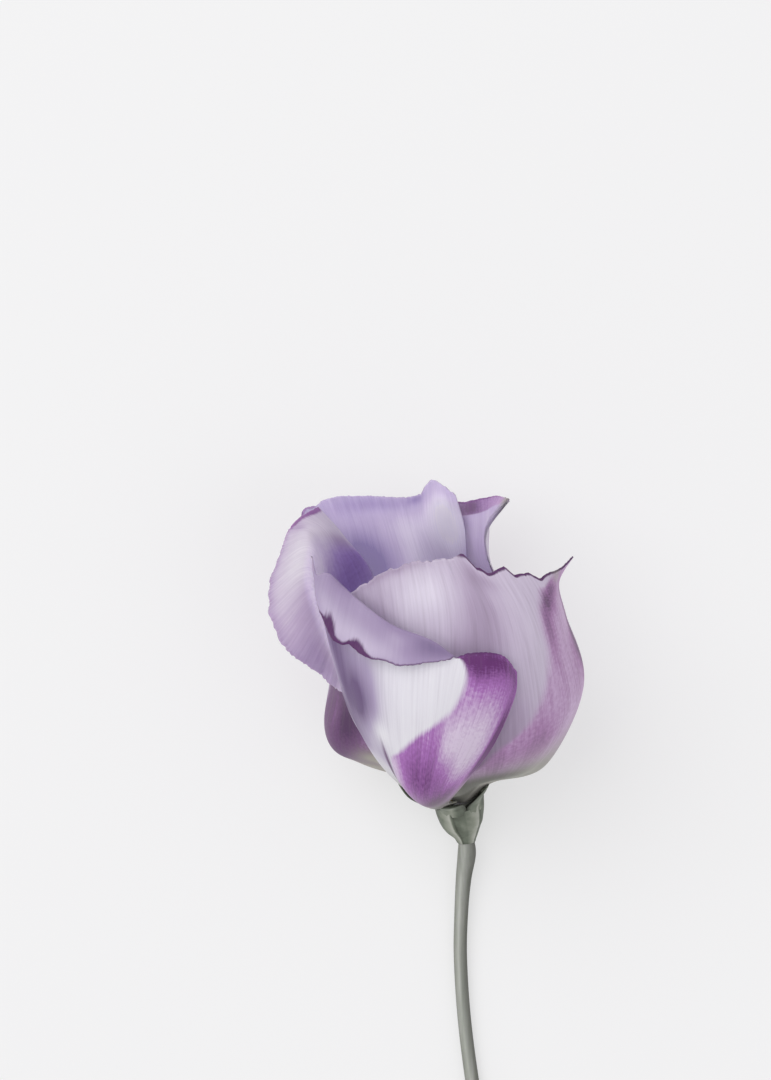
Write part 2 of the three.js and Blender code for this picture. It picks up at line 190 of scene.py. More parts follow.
CUP_AXIS = Vector((
    -math.cos(RISE) * math.sin(LEAN_LEFT), math.cos(RISE) * math.cos(LEAN_LEFT), math.sin(RISE)
))


def between(start, end, slope_in, slope_out, w):
    """A place on the smooth way from start to end, with the slopes that it has at both."""
    return (
        start * (2 * w**3 - 3 * w**2 + 1)
        + end * (3 * w**2 - 2 * w**3)
        + slope_in * (w**3 - 2 * w**2 + w)
        + slope_out * (w**3 - w**2)
    )


def through(points, share):
    """A point of the smooth curve through all points, the share counted in points."""
    spans = len(points) - 1
    at = min(max(share, 0.0), 1.0) * spans
    i = min(int(at), spans - 1)
    start, end = points[i], points[i + 1]
    before = points[i - 1] if i > 0 else 2 * start - end
    after = points[i + 2] if i + 2 <= spans else 2 * end - start
    return between(start, end, (end - before) / 2, (after - start) / 2, at - i)


def heading(points, share):
    """The direction of that curve."""
    step = 0.0005
    return (through(points, share + step) - through(points, share - step)).normalized()


def ring_frame(direction):
    """Two directions across a tube: upwards, and to the side."""
    side = direction.cross(Vector((0, 0, 1))).normalized()
    return side.cross(direction), side


def close_end(mesh, ring):
    """Caps a ring of vertices with a fan round its middle."""
    cap = bmesh.ops.contextual_create(mesh, geom=ring)["faces"]
    bmesh.ops.poke(mesh, faces=cap)


def grow_tube(mesh, sides, stations, touch=None):
    """A tube from a circle that is extruded from station to station. Each station is a
    function from the turn round the tube to a point. Touch is called with each vertex, its
    turn and its share of the way. Returns the first and the last ring."""
    circle = bmesh.ops.create_circle(mesh, segments=sides, radius=1.0)["verts"]
    ring = sorted(circle, key=lambda vertex: math.atan2(vertex.co.y, vertex.co.x))
    first = ring
    for number, station in enumerate(stations):
        if number:
            # A dict keeps the edges in order, so that each run makes the same mesh
            edges = dict.fromkeys(e for v in ring for e in v.link_edges if e.other_vert(v) in ring)
            grown = bmesh.ops.extrude_edge_only(mesh, edges=list(edges))["geom"]
            follow = {}
            for edge in (e for v in ring for e in v.link_edges):
                for vertex in edge.verts:
                    if vertex in grown:
                        follow[edge.other_vert(vertex)] = vertex
            ring = [follow[v] for v in ring]
        for k, vertex in enumerate(ring):
            turn = 2 * math.pi * k / sides
            vertex.co = station(turn)
            if touch:
                touch(vertex, turn, number / len(stations))
    return first, ring


def finished(name, mesh, materials, replaces):
    """Turns the mesh into a piece of the flower that stands for a CAD node."""
    data = bpy.data.meshes.new(name)
    mesh.to_mesh(data)
    mesh.free()
    data.transform(Matrix.Scale(MM, 4))
    for material in materials:
        data.materials.append(material)
    for face in data.polygons:
        face.use_smooth = True
    piece = bpy.data.objects.new(name, data)
    bpy.context.scene.collection.objects.link(piece)
    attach(piece, "root")
    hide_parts(replaces)
    return piece


stalk_line = [BLOOM_BASE + Vector(station[:3]) for station in STALK]
stalk_radii = [station[3] for station in STALK]


def stalk_ring(share):
    """A ribbed section square to the stalk. The last one is cut slanting."""
    middle = through(stalk_line, share)
    direction = heading(stalk_line, share) if share > 0 else -CUP_AXIS
    above, side = ring_frame(direction)
    radius = through(stalk_radii, share)

    def point(turn):
        ribbed = radius - RIB_DEPTH * (1 - math.cos(STALK_RIBS * turn)) / 2
        spot = middle + above * ribbed * math.cos(turn) + side * ribbed * math.sin(turn)
        if share == 1:
            spot.y += CUT_SLANT * (spot.z - middle.z)
        return spot

    return point


def stalk_side(vertex, turn, share):
    """Notes how far to the left a place on the stalk is, for the light and shade painted on it."""
    vertex[leftward] = 0.5 + 0.5 * math.sin(turn)


stalk_mesh = bmesh.new()
leftward = stalk_mesh.verts.layers.float.new("leftward")
stalk_rings = [stalk_ring(k / STALK_STEPS) for k in range(STALK_STEPS + 1)]
top_ring, cut_ring = grow_tube(stalk_mesh, STALK_SIDES, stalk_rings, stalk_side)
close_end(stalk_mesh, top_ring)
close_end(stalk_mesh, cut_ring)
bmesh.ops.recalc_face_normals(stalk_mesh, faces=stalk_mesh.faces)

# Fresh green stem under a thin wax bloom: matt, grey green and streaked along its length.
# Light and shade are painted across it: lighter a little left of its middle, darker towards
# its right edge, as a lamp from the left would light it. On each Mix node, socket 0 is the
# share, 6 and 7 are the colours, and output 2 is the mixed colour.
stem_material, tree = new_material("waxy_green_stem")
place = add_node(tree, "TexCoord")["Object"]
streak_scale = [count / MM for count in STEM_STREAKS_PER_MM]
long_way = add_node(tree, "Mapping", {"Scale": streak_scale}, {"Vector": place})[0]
streaks = add_node(tree, "TexNoise", {"Scale": 1.0, "Detail": 4.0}, {"Vector": long_way})["Fac"]
blotches = add_node(tree, "TexNoise", {"Scale": WAX_PATCHES_PER_MM / MM, "Detail": 2.0},
                    {"Vector": place})["Fac"]
green = add_node(
    tree, "ValToRGB", None, {"Fac": streaks},
    [(0.25, "#989d92"), (0.5, "#aeb1a8"), (0.8, "#c4c6bf")],
)[0]
bloom = add_node(tree, "ValToRGB", None, {"Fac": blotches}, [(0.4, "#000000"), (0.75, "#404040")])[0]
waxed = add_node(tree, "Mix", {7: linear(WAX_COLOUR)}, {0: bloom, 6: green}, data_type="RGBA")[2]
side_of_stem = add_node(tree, "Attribute", attribute_name="leftward")["Fac"]
# Painted light and shade: darkest at the stem's right edge, lightest a little left of its middle
band = add_node(
    tree, "ValToRGB", None, {"Fac": side_of_stem},
    [(0.0, "#848480"), (0.25, "#bcbcba"), (0.45, "#dcdcdc"), (0.65, "#ffffff"), (0.85, "#ececec"),
     (1.0, "#c4c4c2")],
)[0]
stem_with_painted_light = add_node(
    tree, "Mix", {0: 1.0}, {6: waxed, 7: band}, data_type="RGBA", blend_type="MULTIPLY"
)[2]
grain = add_node(tree, "Bump", {"Strength": 0.25, "Distance": 0.0002}, {"Height": streaks})
stem_shader = add_node(
    tree,
    "BsdfPrincipled",
    {"Roughness": 0.5, "Specular IOR Level": 0.35, "Subsurface Weight": 0.05,
     "Subsurface Radius": (0.002, 0.003, 0.001)},
    {"Base Color": stem_with_painted_light, "Normal": grain[0]},
)
add_node(tree, "OutputMaterial", None, {"Surface": stem_shader[0]})
finished("flower_stalk", stalk_mesh, [stem_material], "stem")


# Calyx
# A green cup grown round the receptacle, with five keeled sepals whose slender points
# lie along the bloom. It is grown as one with its lobes, firm and slightly waxy.

# The cup's ends are shares of the stalk's line: lower at a sinus, higher at a keel. Each
# station of a sepal: degrees round the bloom, height, radius and half its width there.
CALYX_SEGMENTS = 90
CALYX_RINGS = 20
CALYX_LOBES = 5
LOBE_TURN = 0.075
CALYX_BOTTOM = 0.31
CALYX_TOP = 0.012
SINUS_TOP = 0.06
CALYX_CLEARANCE = 0.6
CALYX_GAP = 0.08
CALYX_WALL = [-0.42, 0.5, 1.0, 1.0, 0.95, 0.85, 0.8]
KEEL_HEIGHT = 0.3
KEEL_WIDTH = 0.16
CALYX_SHEET = 0.5
CALYX_MOTTLES_PER_MM = 0.42
CALYX_GRAINS_PER_MM = 2.4
SEPAL_SIDES = 16
SEPAL_STEPS = 30
SEPAL_THICKNESS = [0.45, 0.42, 0.35, 0.28, 0.22, 0.14]
SEPALS = [
    [(117, -6, 3.6, 2.6), (116, -3, 5, 3.2), (113, -0.3, 5.6, 3.3), (104, 2.9, 8.5, 2.6),
     (108, 4.8, 11.2, 1.5), (122, 6.3, 12.1, 0.6), (131, 7.8, 13.4, 0.42), (137, 10, 14.6, 0.34),
     (141, 13.2, 15.2, 0.3), (143, 15.7, 15.3, 0.26), (145, 18.1, 15.8, 0.16)],
    [(45, -6, 3.6, 2.6), (45, -3, 5, 3.2), (44, -0.4, 5.55, 3.3), (42, 2, 7.3, 2.5),
     (39, 4.5, 9.1, 0.3)],
    [(-27, -6, 3.6, 2.6), (-27, -3, 5, 3.2), (-29, -1.3, 5.6, 3.1), (-33, -0.4, 7.6, 1.8),
     (-38, 0, 9.2, 0.8), (-42, 0.8, 10.8, 0.2)],
    [(-99, -6, 3.6, 2.6), (-99, -3, 5, 3.2), (-100, -1.4, 5.5, 3), (-101, -0.6, 6.6, 1.4),
     (-101, 0, 7.4, 0.2)],
    [(189, -6, 3.6, 2.6), (189, -3, 5, 3.2), (189, -1, 5.6, 3.1), (192, 0.2, 8.2, 1.8),
     (197, 1.5, 10.2, 0.9), (203, 3, 12.2, 0.5), (208, 5.4, 14.6, 0.2)],
]
# Light and shade painted across a sepal, from its right margin at -1 to its left at 1: painted light
# on the keel and left of it, painted shade in the groove right of the keel, and on the free sepals
# painted shade at both margins
CUP_SHADE = [(-1, 0.3), (-0.3, 0.2), (-0.12, 0.05), (0, 0.9), (0.25, 0.8), (1, 0.4)]
SEPAL_SHADE = [
    (-1, -0.4), (-0.88, 0.1), (-0.35, 0.2), (-0.15, 0.0), (0, 0.85), (0.25, 0.65), (0.88, 0.3),
    (1, -0.4),
]


def in_cup(angle, height, radius):
    """A place in the bloom: degrees round its axis, height above its base, and radius."""
    turn = math.radians(angle)
    across = CUP_RIGHT * radius * math.cos(turn) + CUP_FRONT * radius * math.sin(turn)
    return BLOOM_BASE + CUP_AXIS * height + across


def level(stops, share):
    """A value on the smooth curve through stops, each of which is (share, value)."""
    if share <= stops[0][0]:
        return stops[0][1]
    if share >= stops[-1][0]:
        return stops[-1][1]
    i = max(k for k, stop in enumerate(stops) if stop[0] <= share)
    (start, low), (end, high) = stops[i], stops[i + 1]
    span = end - start
    before, after = stops[max(i - 1, 0)], stops[min(i + 2, len(stops) - 1)]
    slope_in = (high - before[1]) / (end - before[0]) * span if i else 0
    slope_out = (after[1] - low) / (after[0] - start) * span if i + 2 < len(stops) else 0
    return between(low, high, slope_in, slope_out, (share - start) / span)


def across_sepal(turn_share):
    """How far a turn round the cup is from the nearest keel, in sepals."""
    lobe = (turn_share - LOBE_TURN) * CALYX_LOBES
    return lobe - round(lobe)


def cup_wall(turn_share, up, outside):
    """A point of the cup's outer or inner face."""
    from_keel = 2 * abs(across_sepal(turn_share))
    rim = CALYX_TOP + (SINUS_TOP - CALYX_TOP) * from_keel
    share = CALYX_BOTTOM + (rim - CALYX_BOTTOM) * up
    ridge = math.exp(-((from_keel / KEEL_WIDTH) ** 2))
    keel = KEEL_HEIGHT * ridge * math.sin(math.pi * min(up + 0.15, 0.9))
    stalk_radius = through(stalk_radii, share)
    radius = stalk_radius + CALYX_CLEARANCE + through(CALYX_WALL, up) + keel
    if not outside:
        radius = max(radius - CALYX_SHEET, stalk_radius + CALYX_GAP)
    above, side = ring_frame(heading(stalk_line, share))
    turn = 2 * math.pi * turn_share
    return through(stalk_line, share) + (above * math.cos(turn) + side * math.sin(turn)) * radius


calyx_mesh = bmesh.new()
shade = calyx_mesh.verts.layers.float.new("shade")
bmesh.ops.create_grid(calyx_mesh, x_segments=CALYX_SEGMENTS, y_segments=2 * CALYX_RINGS, size=0.5)
for vertex in calyx_mesh.verts:
    turn_share = vertex.co.x + 0.5
    over_rim = 2 * (vertex.co.y + 0.5)
    outside = over_rim <= 1
    vertex[shade] = level(CUP_SHADE, 2 * across_sepal(turn_share))
    vertex.co = cup_wall(turn_share, over_rim if outside else 2 - over_rim, outside)
bmesh.ops.remove_doubles(calyx_mesh, verts=calyx_mesh.verts, dist=0.001)
open_ends = [edge for edge in calyx_mesh.edges if edge.is_boundary]
bmesh.ops.bridge_loops(calyx_mesh, edges=open_ends)


def sepal_ring(line, share):
    """A thin section of a sepal, bent round the bloom and square to the sepal's way."""
    angle, height, radius, width = through(line, share)
    step = 0.01
    ahead = through(line, share + step) - through(line, share - step)
    slope = math.hypot(ahead.y, ahead.z)
    thickness = through(SEPAL_THICKNESS, share)

    def point(turn):
        outward = thickness * math.cos(turn)
        aside = math.degrees(width * math.sin(turn) / radius)
        rise = height - outward * ahead.z / slope
        return in_cup(angle + aside, rise, radius + outward * ahead.y / slope)

    return point


def sepal_side(vertex, turn, share):
    """Notes the light and shade painted on a sepal: painted shade at its margins, painted
    light on its keel, and darker towards its tip.
    """
    vertex[shade] = level(SEPAL_SHADE, math.sin(turn)) * (1 - 0.6 * share)


for sepal in SEPALS:
    line = [Vector(station) for station in sepal]
    sepal_rings = [sepal_ring(line, k / SEPAL_STEPS) for k in range(SEPAL_STEPS + 1)]
    root, tip = grow_tube(calyx_mesh, SEPAL_SIDES, sepal_rings, sepal_side)
    close_end(calyx_mesh, root)
    close_end(calyx_mesh, tip)
bmesh.ops.recalc_face_normals(calyx_mesh, faces=calyx_mesh.faces)


def varied(tree, share, weight, value):
    """A share that is moved up and down by a noise whose middle is a half."""
    scaled = add_node(tree, "Math", {1: weight, 2: -weight / 2}, {0: value},
                      operation="MULTIPLY_ADD")
    return add_node(tree, "Math", None, {0: scaled[0], 1: share}, operation="ADD")[0]


# Firm green sepals: darker than the stalk and mottled, with painted light on each keel and
# painted shade in the groove beside it and at the margins
calyx_material, tree = new_material("firm_green_sepal")
place = add_node(tree, "TexCoord")["Object"]
mottle = add_node(tree, "TexNoise", {"Scale": CALYX_MOTTLES_PER_MM / MM, "Detail": 4.0},
                  {"Vector": place})["Fac"]
fine = add_node(tree, "TexNoise", {"Scale": CALYX_GRAINS_PER_MM / MM, "Detail": 2.0},
                {"Vector": place})["Fac"]
shaded = add_node(tree, "Attribute", attribute_name="shade")["Fac"]
green = add_node(
    tree, "ValToRGB", None, {"Fac": varied(tree, shaded, 0.7, mottle)},
    [(0.0, "#474c40"), (0.35, "#727a6b"), (0.65, "#979c8d"), (1.0, "#bbbdb2")],
)[0]
grain = add_node(tree, "Bump", {"Strength": 0.3, "Distance": 0.0001}, {"Height": fine})
calyx_shader = add_node(
    tree,
    "BsdfPrincipled",
    {"Roughness": 0.55, "Specular IOR Level": 0.35},
    {"Base Color": green, "Normal": grain[0]},
)
add_node(tree, "OutputMaterial", None, {"Surface": calyx_shader[0]})
finished("calyx_cup", calyx_mesh, [calyx_material], "calyx")


# Petals
# Five thin soft sheets grown in a ring, each wrapped over the next one. Every petal is grey
# green at its foot, cream white to lavender above, and flushed purple towards its right margin
# and its toothed rim. Light and shade are painted on them as well: painted shade in hollows,
# folds and where one petal lies over another, and painted light where light comes through.
# Both faces and the thin rim have their own finish.

# The width and the length are a petal's, laid flat. The bands are shares of that length.
COLUMNS = 150
ROWS = 132
SHEET_THICKNESS = 0.34
PETAL_WIDTH = 55.0
PETAL_LENGTH = 80.0
REST_HEIGHT = 0.05
RIM_BAND = 0.15
BELOW_RIM = 0.95
RUFFLE_BAND = 0.2
TEETH_ACROSS = (38, 92)
WAVES_ACROSS = (22, 60)
# The colour of a painted glow that stands in for light coming through the petals
PETAL_GLOW = "#c8bce4"
FOOT_RIM = "#7f8074"

# Noise on the petals, in waves to a millimetre across and along them. The real veins and
# cells are finer, and are drawn coarser here so that they show.
FINE_VEINS = (2.4, 0.07, 1)
BROAD_VEINS = (0.6, 0.03, 1)
CELLS_PER_MM = 1.3
RIM_PATCHES_PER_MM = 0.8
PALE_TO_DARK = (0.0, 0.5, 1.0)

# What most petals have: no curl, no flush inside, an even tone with no painted shading, and a
# green foot
PETAL_SHAPE = {
    "curl": [(0, 0)],
    "flush_in": [(0, -0.2)],
    "tone_and_painted_shading_out": (0.3, []),
    "depth_out": (0.5, []),
    "depth_in": (0.5, []),
    "foot": [(0, 1), (0.2, 0.8), (0.4, 0.1), (0.5, 0)],
}

# What most faces of a petal have: tones from pale to dark, how much the veins change them,
# how soft and how ragged the flush's edge is in millimetres, the share of light that goes
# through, and the strength of a painted glow that stands in for light from the other petals
PETAL_LOOK = {
    "purple": ("#c8aad2", "#a07cb0", "#6a3f76"), "foot": ("#cfc8d8", "#a9a3b8", "#7f7890"),
    "veins": 0.3, "soft": 3.0, "ragged": 3.0, "through": 0.35, "glow": 0.0,
}


def straight(stops, share):
    """A value on the straight lines through stops, for a rim with sharp notches."""
    for (start, low), (end, high) in zip(stops, stops[1:]):
        if share <= end:
            return low + (high - low) * max(share - start, 0) / (end - start)
    return stops[-1][1]


def spread(base, spots, u, v):
    """A share that soft oval spots change: each is its place across and along the petal,
    its reach both ways and its strength."""
    for across, along, wide, long, strength in spots:
        base += strength * math.exp(-(((u - across) / wide) ** 2) - ((v - along) / long) ** 2)
    return base


def petal_sheet(ribs, shape, seed):
    """A petal's middle surface. Each rib has seven places from claw to edge. The rim line
    is how far the rim stands out, and the curl how far it bends over, in millimetres."""
    ribs = [[in_cup(*station) for station in rib] for rib in ribs]
    mesh = bmesh.new()
    uv = mesh.loops.layers.uv.new("petal")
    across = mesh.verts.layers.float.new("across")
    along = mesh.verts.layers.float.new("along")
    bmesh.ops.create_grid(mesh, x_segments=COLUMNS, y_segments=ROWS, size=0.5)
    for vertex in mesh.verts:
        vertex[across] = vertex.co.x + 0.5
        vertex[along] = vertex.co.y + 0.5
    for face in mesh.faces:
        for loop in face.loops:
            loop[uv].uv = (loop.vert[across] * PETAL_WIDTH, loop.vert[along] * PETAL_LENGTH)
    rows = [[through(rib, k / ROWS) for rib in ribs] for k in range(ROWS + 1)]
    below = rows[round(ROWS * BELOW_RIM)]
    for vertex in mesh.verts:
        u, v = vertex[across], vertex[along]
        vertex.co = through(rows[round(v * ROWS)], u)
        if v > 1 - RIM_BAND:
            outward = (through(rows[ROWS], u) - through(below, u)).normalized()
            near = ((v - 1 + RIM_BAND) / RIM_BAND) ** 2
            large = noise.noise(Vector((u * TEETH_ACROSS[0], seed, 0)))
            small = noise.noise(Vector((u * TEETH_ACROSS[1], seed, 3)))
            teeth = level(shape["tooth"], u) * (large + small) * near**4
            vertex.co += outward * (straight(shape["rim_line"], u) * near + teeth)
    bmesh.ops.reverse_faces(mesh, faces=mesh.faces)
    mesh.normal_update()
    for vertex in mesh.verts:
        u, v = vertex[across], vertex[along]
        near = max((v - 1 + RUFFLE_BAND) / RUFFLE_BAND, 0) ** 2
        large = noise.noise(Vector((u * WAVES_ACROSS[0], v * 2, seed)))
        small = noise.noise(Vector((u * WAVES_ACROSS[1], v * 3, seed + 5)))
        waves = level(shape["ruffle"], u) * near * (large + small / 2)
        curl = level(shape["curl"], u) * near**3
        vertex.co += vertex.normal * (waves + curl)
        vertex.co.z = max(vertex.co.z, SHEET_THICKNESS / 2 + REST_HEIGHT)
    return mesh


def paint(mesh, name, value_at):
    """Gives each vertex a number that a material reads, from its share across and along."""
    across = mesh.verts.layers.float["across"]
    along = mesh.verts.layers.float["along"]
    layer = mesh.verts.layers.float.new(name)
    for vertex in mesh.verts:
        vertex[layer] = value_at(vertex[across], vertex[along])


def petal_finish(name, side, look, seed):
    """One face of a petal: satin-soft skin with fine veins along it. What is painted on
    that side places its tone and painted shading, its purple flush with the depth and painted
    shading in it, its dark stains and its grey green."""
    material, tree = new_material(name)
    uv = add_node(tree, "UVMap", uv_map="petal")[0]
    shift = (seed * 7.3, seed * 3.1, 0)
    shifted = add_node(tree, "Mapping", {"Location": shift}, {"Vector": uv})[0]
    fine_way = add_node(tree, "Mapping", {"Scale": FINE_VEINS}, {"Vector": shifted})[0]
    broad_way = add_node(tree, "Mapping", {"Scale": BROAD_VEINS}, {"Vector": shifted})[0]
    fine = add_node(tree, "TexNoise", {"Scale": 1.0, "Detail": 3.0, "Roughness": 0.6},
                    {"Vector": fine_way})["Fac"]
    broad = add_node(tree, "TexNoise", {"Scale": 1.0, "Detail": 2.0}, {"Vector": broad_way})["Fac"]
    cells = add_node(tree, "TexNoise", {"Scale": CELLS_PER_MM, "Detail": 4.0},
                     {"Vector": shifted})["Fac"]
    streak = add_node(tree, "Mix", {0: 0.4}, {2: fine, 3: broad})[0]
    tone_and_painted_shading, purple_depth_and_painted_shading, flush, stain, foot = (
        add_node(tree, "Attribute", attribute_name=what)["Fac"]
        for what in ("tone_and_painted_shading_" + side, "depth_" + side, "flush_" + side, "stain", "foot")
    )

    # The tone with its painted shading moves the skin from pale to dark; the depth with its painted
    # shading does the same in the purple
    light = varied(tree, tone_and_painted_shading, look["veins"], streak)
    dark = varied(tree, varied(tree, purple_depth_and_painted_shading, 0.8, streak), 0.5, cells)
    skin, purple, green = (
        add_node(tree, "ValToRGB", None, {"Fac": share}, list(zip(PALE_TO_DARK, look[part])))[0]
        for part, share in (("skin", light), ("purple", dark), ("foot", light))
    )
    edge = varied(tree, flush, look["ragged"], streak)
    flushed = add_node(tree, "MapRange", {"From Min": -look["soft"], "From Max": look["soft"]},
                       {"Value": edge}, interpolation_type="SMOOTHSTEP")[0]
    coloured = add_node(tree, "Mix", None, {0: flushed, 6: skin, 7: purple}, data_type="RGBA")[2]
    stained = add_node(tree, "MapRange", {"From Min": 0.3, "From Max": 0.8},
                       {"Value": varied(tree, stain, 0.5, fine)},
                       interpolation_type="SMOOTHSTEP")[0]
    stained_skin = add_node(tree, "Mix", {7: linear(look["stain"])}, {0: stained, 6: coloured},
                            data_type="RGBA")[2]
    greened = varied(tree, foot, 0.5, streak)
    footed = add_node(tree, "Mix", None, {0: greened, 6: stained_skin, 7: green},
                      data_type="RGBA")[2]

    height = varied(tree, streak, 0.3, cells)
    relief = add_node(tree, "Bump", {"Strength": 0.22, "Distance": 0.0003}, {"Height": height})
    rough = add_node(tree, "MapRange",
                     {"From Min": 0.3, "From Max": 0.7, "To Min": 0.64, "To Max": 0.5},
                     {"Value": streak})[0]
    # The emission is a painted glow that stands in for light from the other petals
    shader = add_node(
        tree,
        "BsdfPrincipled",
        {"Specular IOR Level": 0.25, "Sheen Weight": 0.1, "Subsurface Weight": look["through"],
         "Subsurface Scale": 0.002, "Subsurface Radius": (1.0, 1.0, 1.0),
         "Emission Color": linear(PETAL_GLOW), "Emission Strength": look["glow"]},
        {"Base Color": footed, "Roughness": rough, "Normal": relief[0]},
    )
    add_node(tree, "OutputMaterial", None, {"Surface": shader[0]})
    return material


def rim_finish(name, pale, dark):
    """The thin edge of a petal: pale, dark where its rim is stained, green at the foot."""
    material, tree = new_material(name)
    uv = add_node(tree, "UVMap", uv_map="petal")[0]
    patches = add_node(tree, "TexNoise", {"Scale": RIM_PATCHES_PER_MM, "Detail": 2.0},
                       {"Vector": uv})["Fac"]
    stain, foot = (
        add_node(tree, "Attribute", attribute_name=what)["Fac"] for what in ("rim_stain", "foot")
    )
    stained = varied(tree, stain, 0.6, patches)
    upper = add_node(tree, "Mix", {6: linear(pale), 7: linear(dark)}, {0: stained},
                     data_type="RGBA")[2]
    edge = add_node(tree, "Mix", {7: linear(FOOT_RIM)}, {0: foot, 6: upper},
                    data_type="RGBA")[2]
    grain = add_node(tree, "Bump", {"Strength": 0.2, "Distance": 0.0002}, {"Height": patches})
    shader = add_node(
        tree,
        "BsdfPrincipled",
        {"Roughness": 0.6, "Specular IOR Level": 0.25},
        {"Base Color": edge, "Normal": grain[0]},
    )
    add_node(tree, "OutputMaterial", None, {"Surface": shader[0]})
    return material


def petal(name, node, ribs, shape, outer, inner, rim, seed):
    """A whole petal: its sheet, what is painted on it, its three finishes and its piece."""
    mesh = petal_sheet(ribs, shape, seed)
    for side in ("out", "in"):
        line, tone_and_painted_shading, purple_depth_and_painted_shading = shape["flush_" + side], shape["tone_and_painted_shading_" + side], shape["depth_" + side]
        paint(mesh, "flush_" + side, lambda u, v: (level(line, v) - u) * PETAL_WIDTH)
        paint(mesh, "tone_and_painted_shading_" + side, lambda u, v: spread(*tone_and_painted_shading, u, v))
        paint(mesh, "depth_" + side, lambda u, v: spread(*purple_depth_and_painted_shading, u, v))
    paint(mesh, "foot", lambda u, v: spread(level(shape["foot"], v), shape["green"], u, v))
    paint(mesh, "rim_stain", lambda u, v: level(shape["stain"], u))
    paint(mesh, "stain", lambda u, v: spread(
        level(shape["stain"], u) * max(1 - (1 - v) * PETAL_LENGTH / shape["stain_reach"], 0),
        shape["flecks"], u, v,
    ))
    skins = [
        petal_finish(name + "_outer_skin", "out", outer, seed),
        petal_finish(name + "_inner_skin", "in", inner, seed + 1),
        rim_finish(name + "_rim", *rim),
    ]
    piece = finished(name, mesh, skins, node)
    wall = piece.modifiers.new("sheet", "SOLIDIFY")
    wall.thickness = SHEET_THICKNESS * MM
    wall.offset = 0.0
    wall.material_offset = 1
    wall.material_offset_rim = 2


# Front petal: wrapped low over the bloom, its rim rolled outward to a lip. The left of its
# outer face is nearly white, the right a clear purple with a clean edge between them.
FRONT_RIBS = [
    [(116, 0.2, 4.2), (94, 4.5, 9), (99, 9.4, 15.3), (85, 18.5, 22.5), (70, 30, 29.5), (58, 41, 32.6),
     (54, 46.7, 32.8)],
    [(123, 0.2, 4.2), (108, 4.5, 9.5), (106, 9, 16), (93, 20, 26), (77, 34, 32), (63, 46.5, 33.5),
     (58, 52.7, 32)],
    [(129, 0.2, 4.2), (110, 4.5, 10), (109, 9, 16.5), (100, 21, 28), (87, 37, 32.5), (74, 50.5, 31.5),
     (69, 56, 29.9)],
    [(136, 0.2, 4.2), (112, 4.7, 10.2), (112, 9.3, 16.8), (105, 23, 30), (94, 43, 32), (83, 59, 26.5),
     (85, 56.9, 29.3)],
    [(142, 0.2, 4.2), (114, 5, 10.5), (115, 10, 17), (112, 25.5, 29.2), (109, 46.5, 29.5),
     (104, 62.4, 20.2), (107, 58.4, 28.1)],
    [(149, 0.2, 4.2), (118, 6, 11), (120, 11.5, 16.5), (122, 27, 24.8), (123, 47, 27),
     (131, 66.4, 16.4), (129, 60.9, 25.1)],
    [(155, 0.2, 4.2), (124, 7, 11.5), (128, 13, 16.3), (134, 27, 22.3), (136, 46, 24.5),
     (156, 70, 16.6), (152, 65.3, 21.9)],
    [(162, 0.2, 4.2), (131, 10, 12.8), (140, 20, 17), (143, 35, 22.3), (146, 50, 22.8),
     (163, 66, 19.5), (178, 72.4, 17.9)],
]
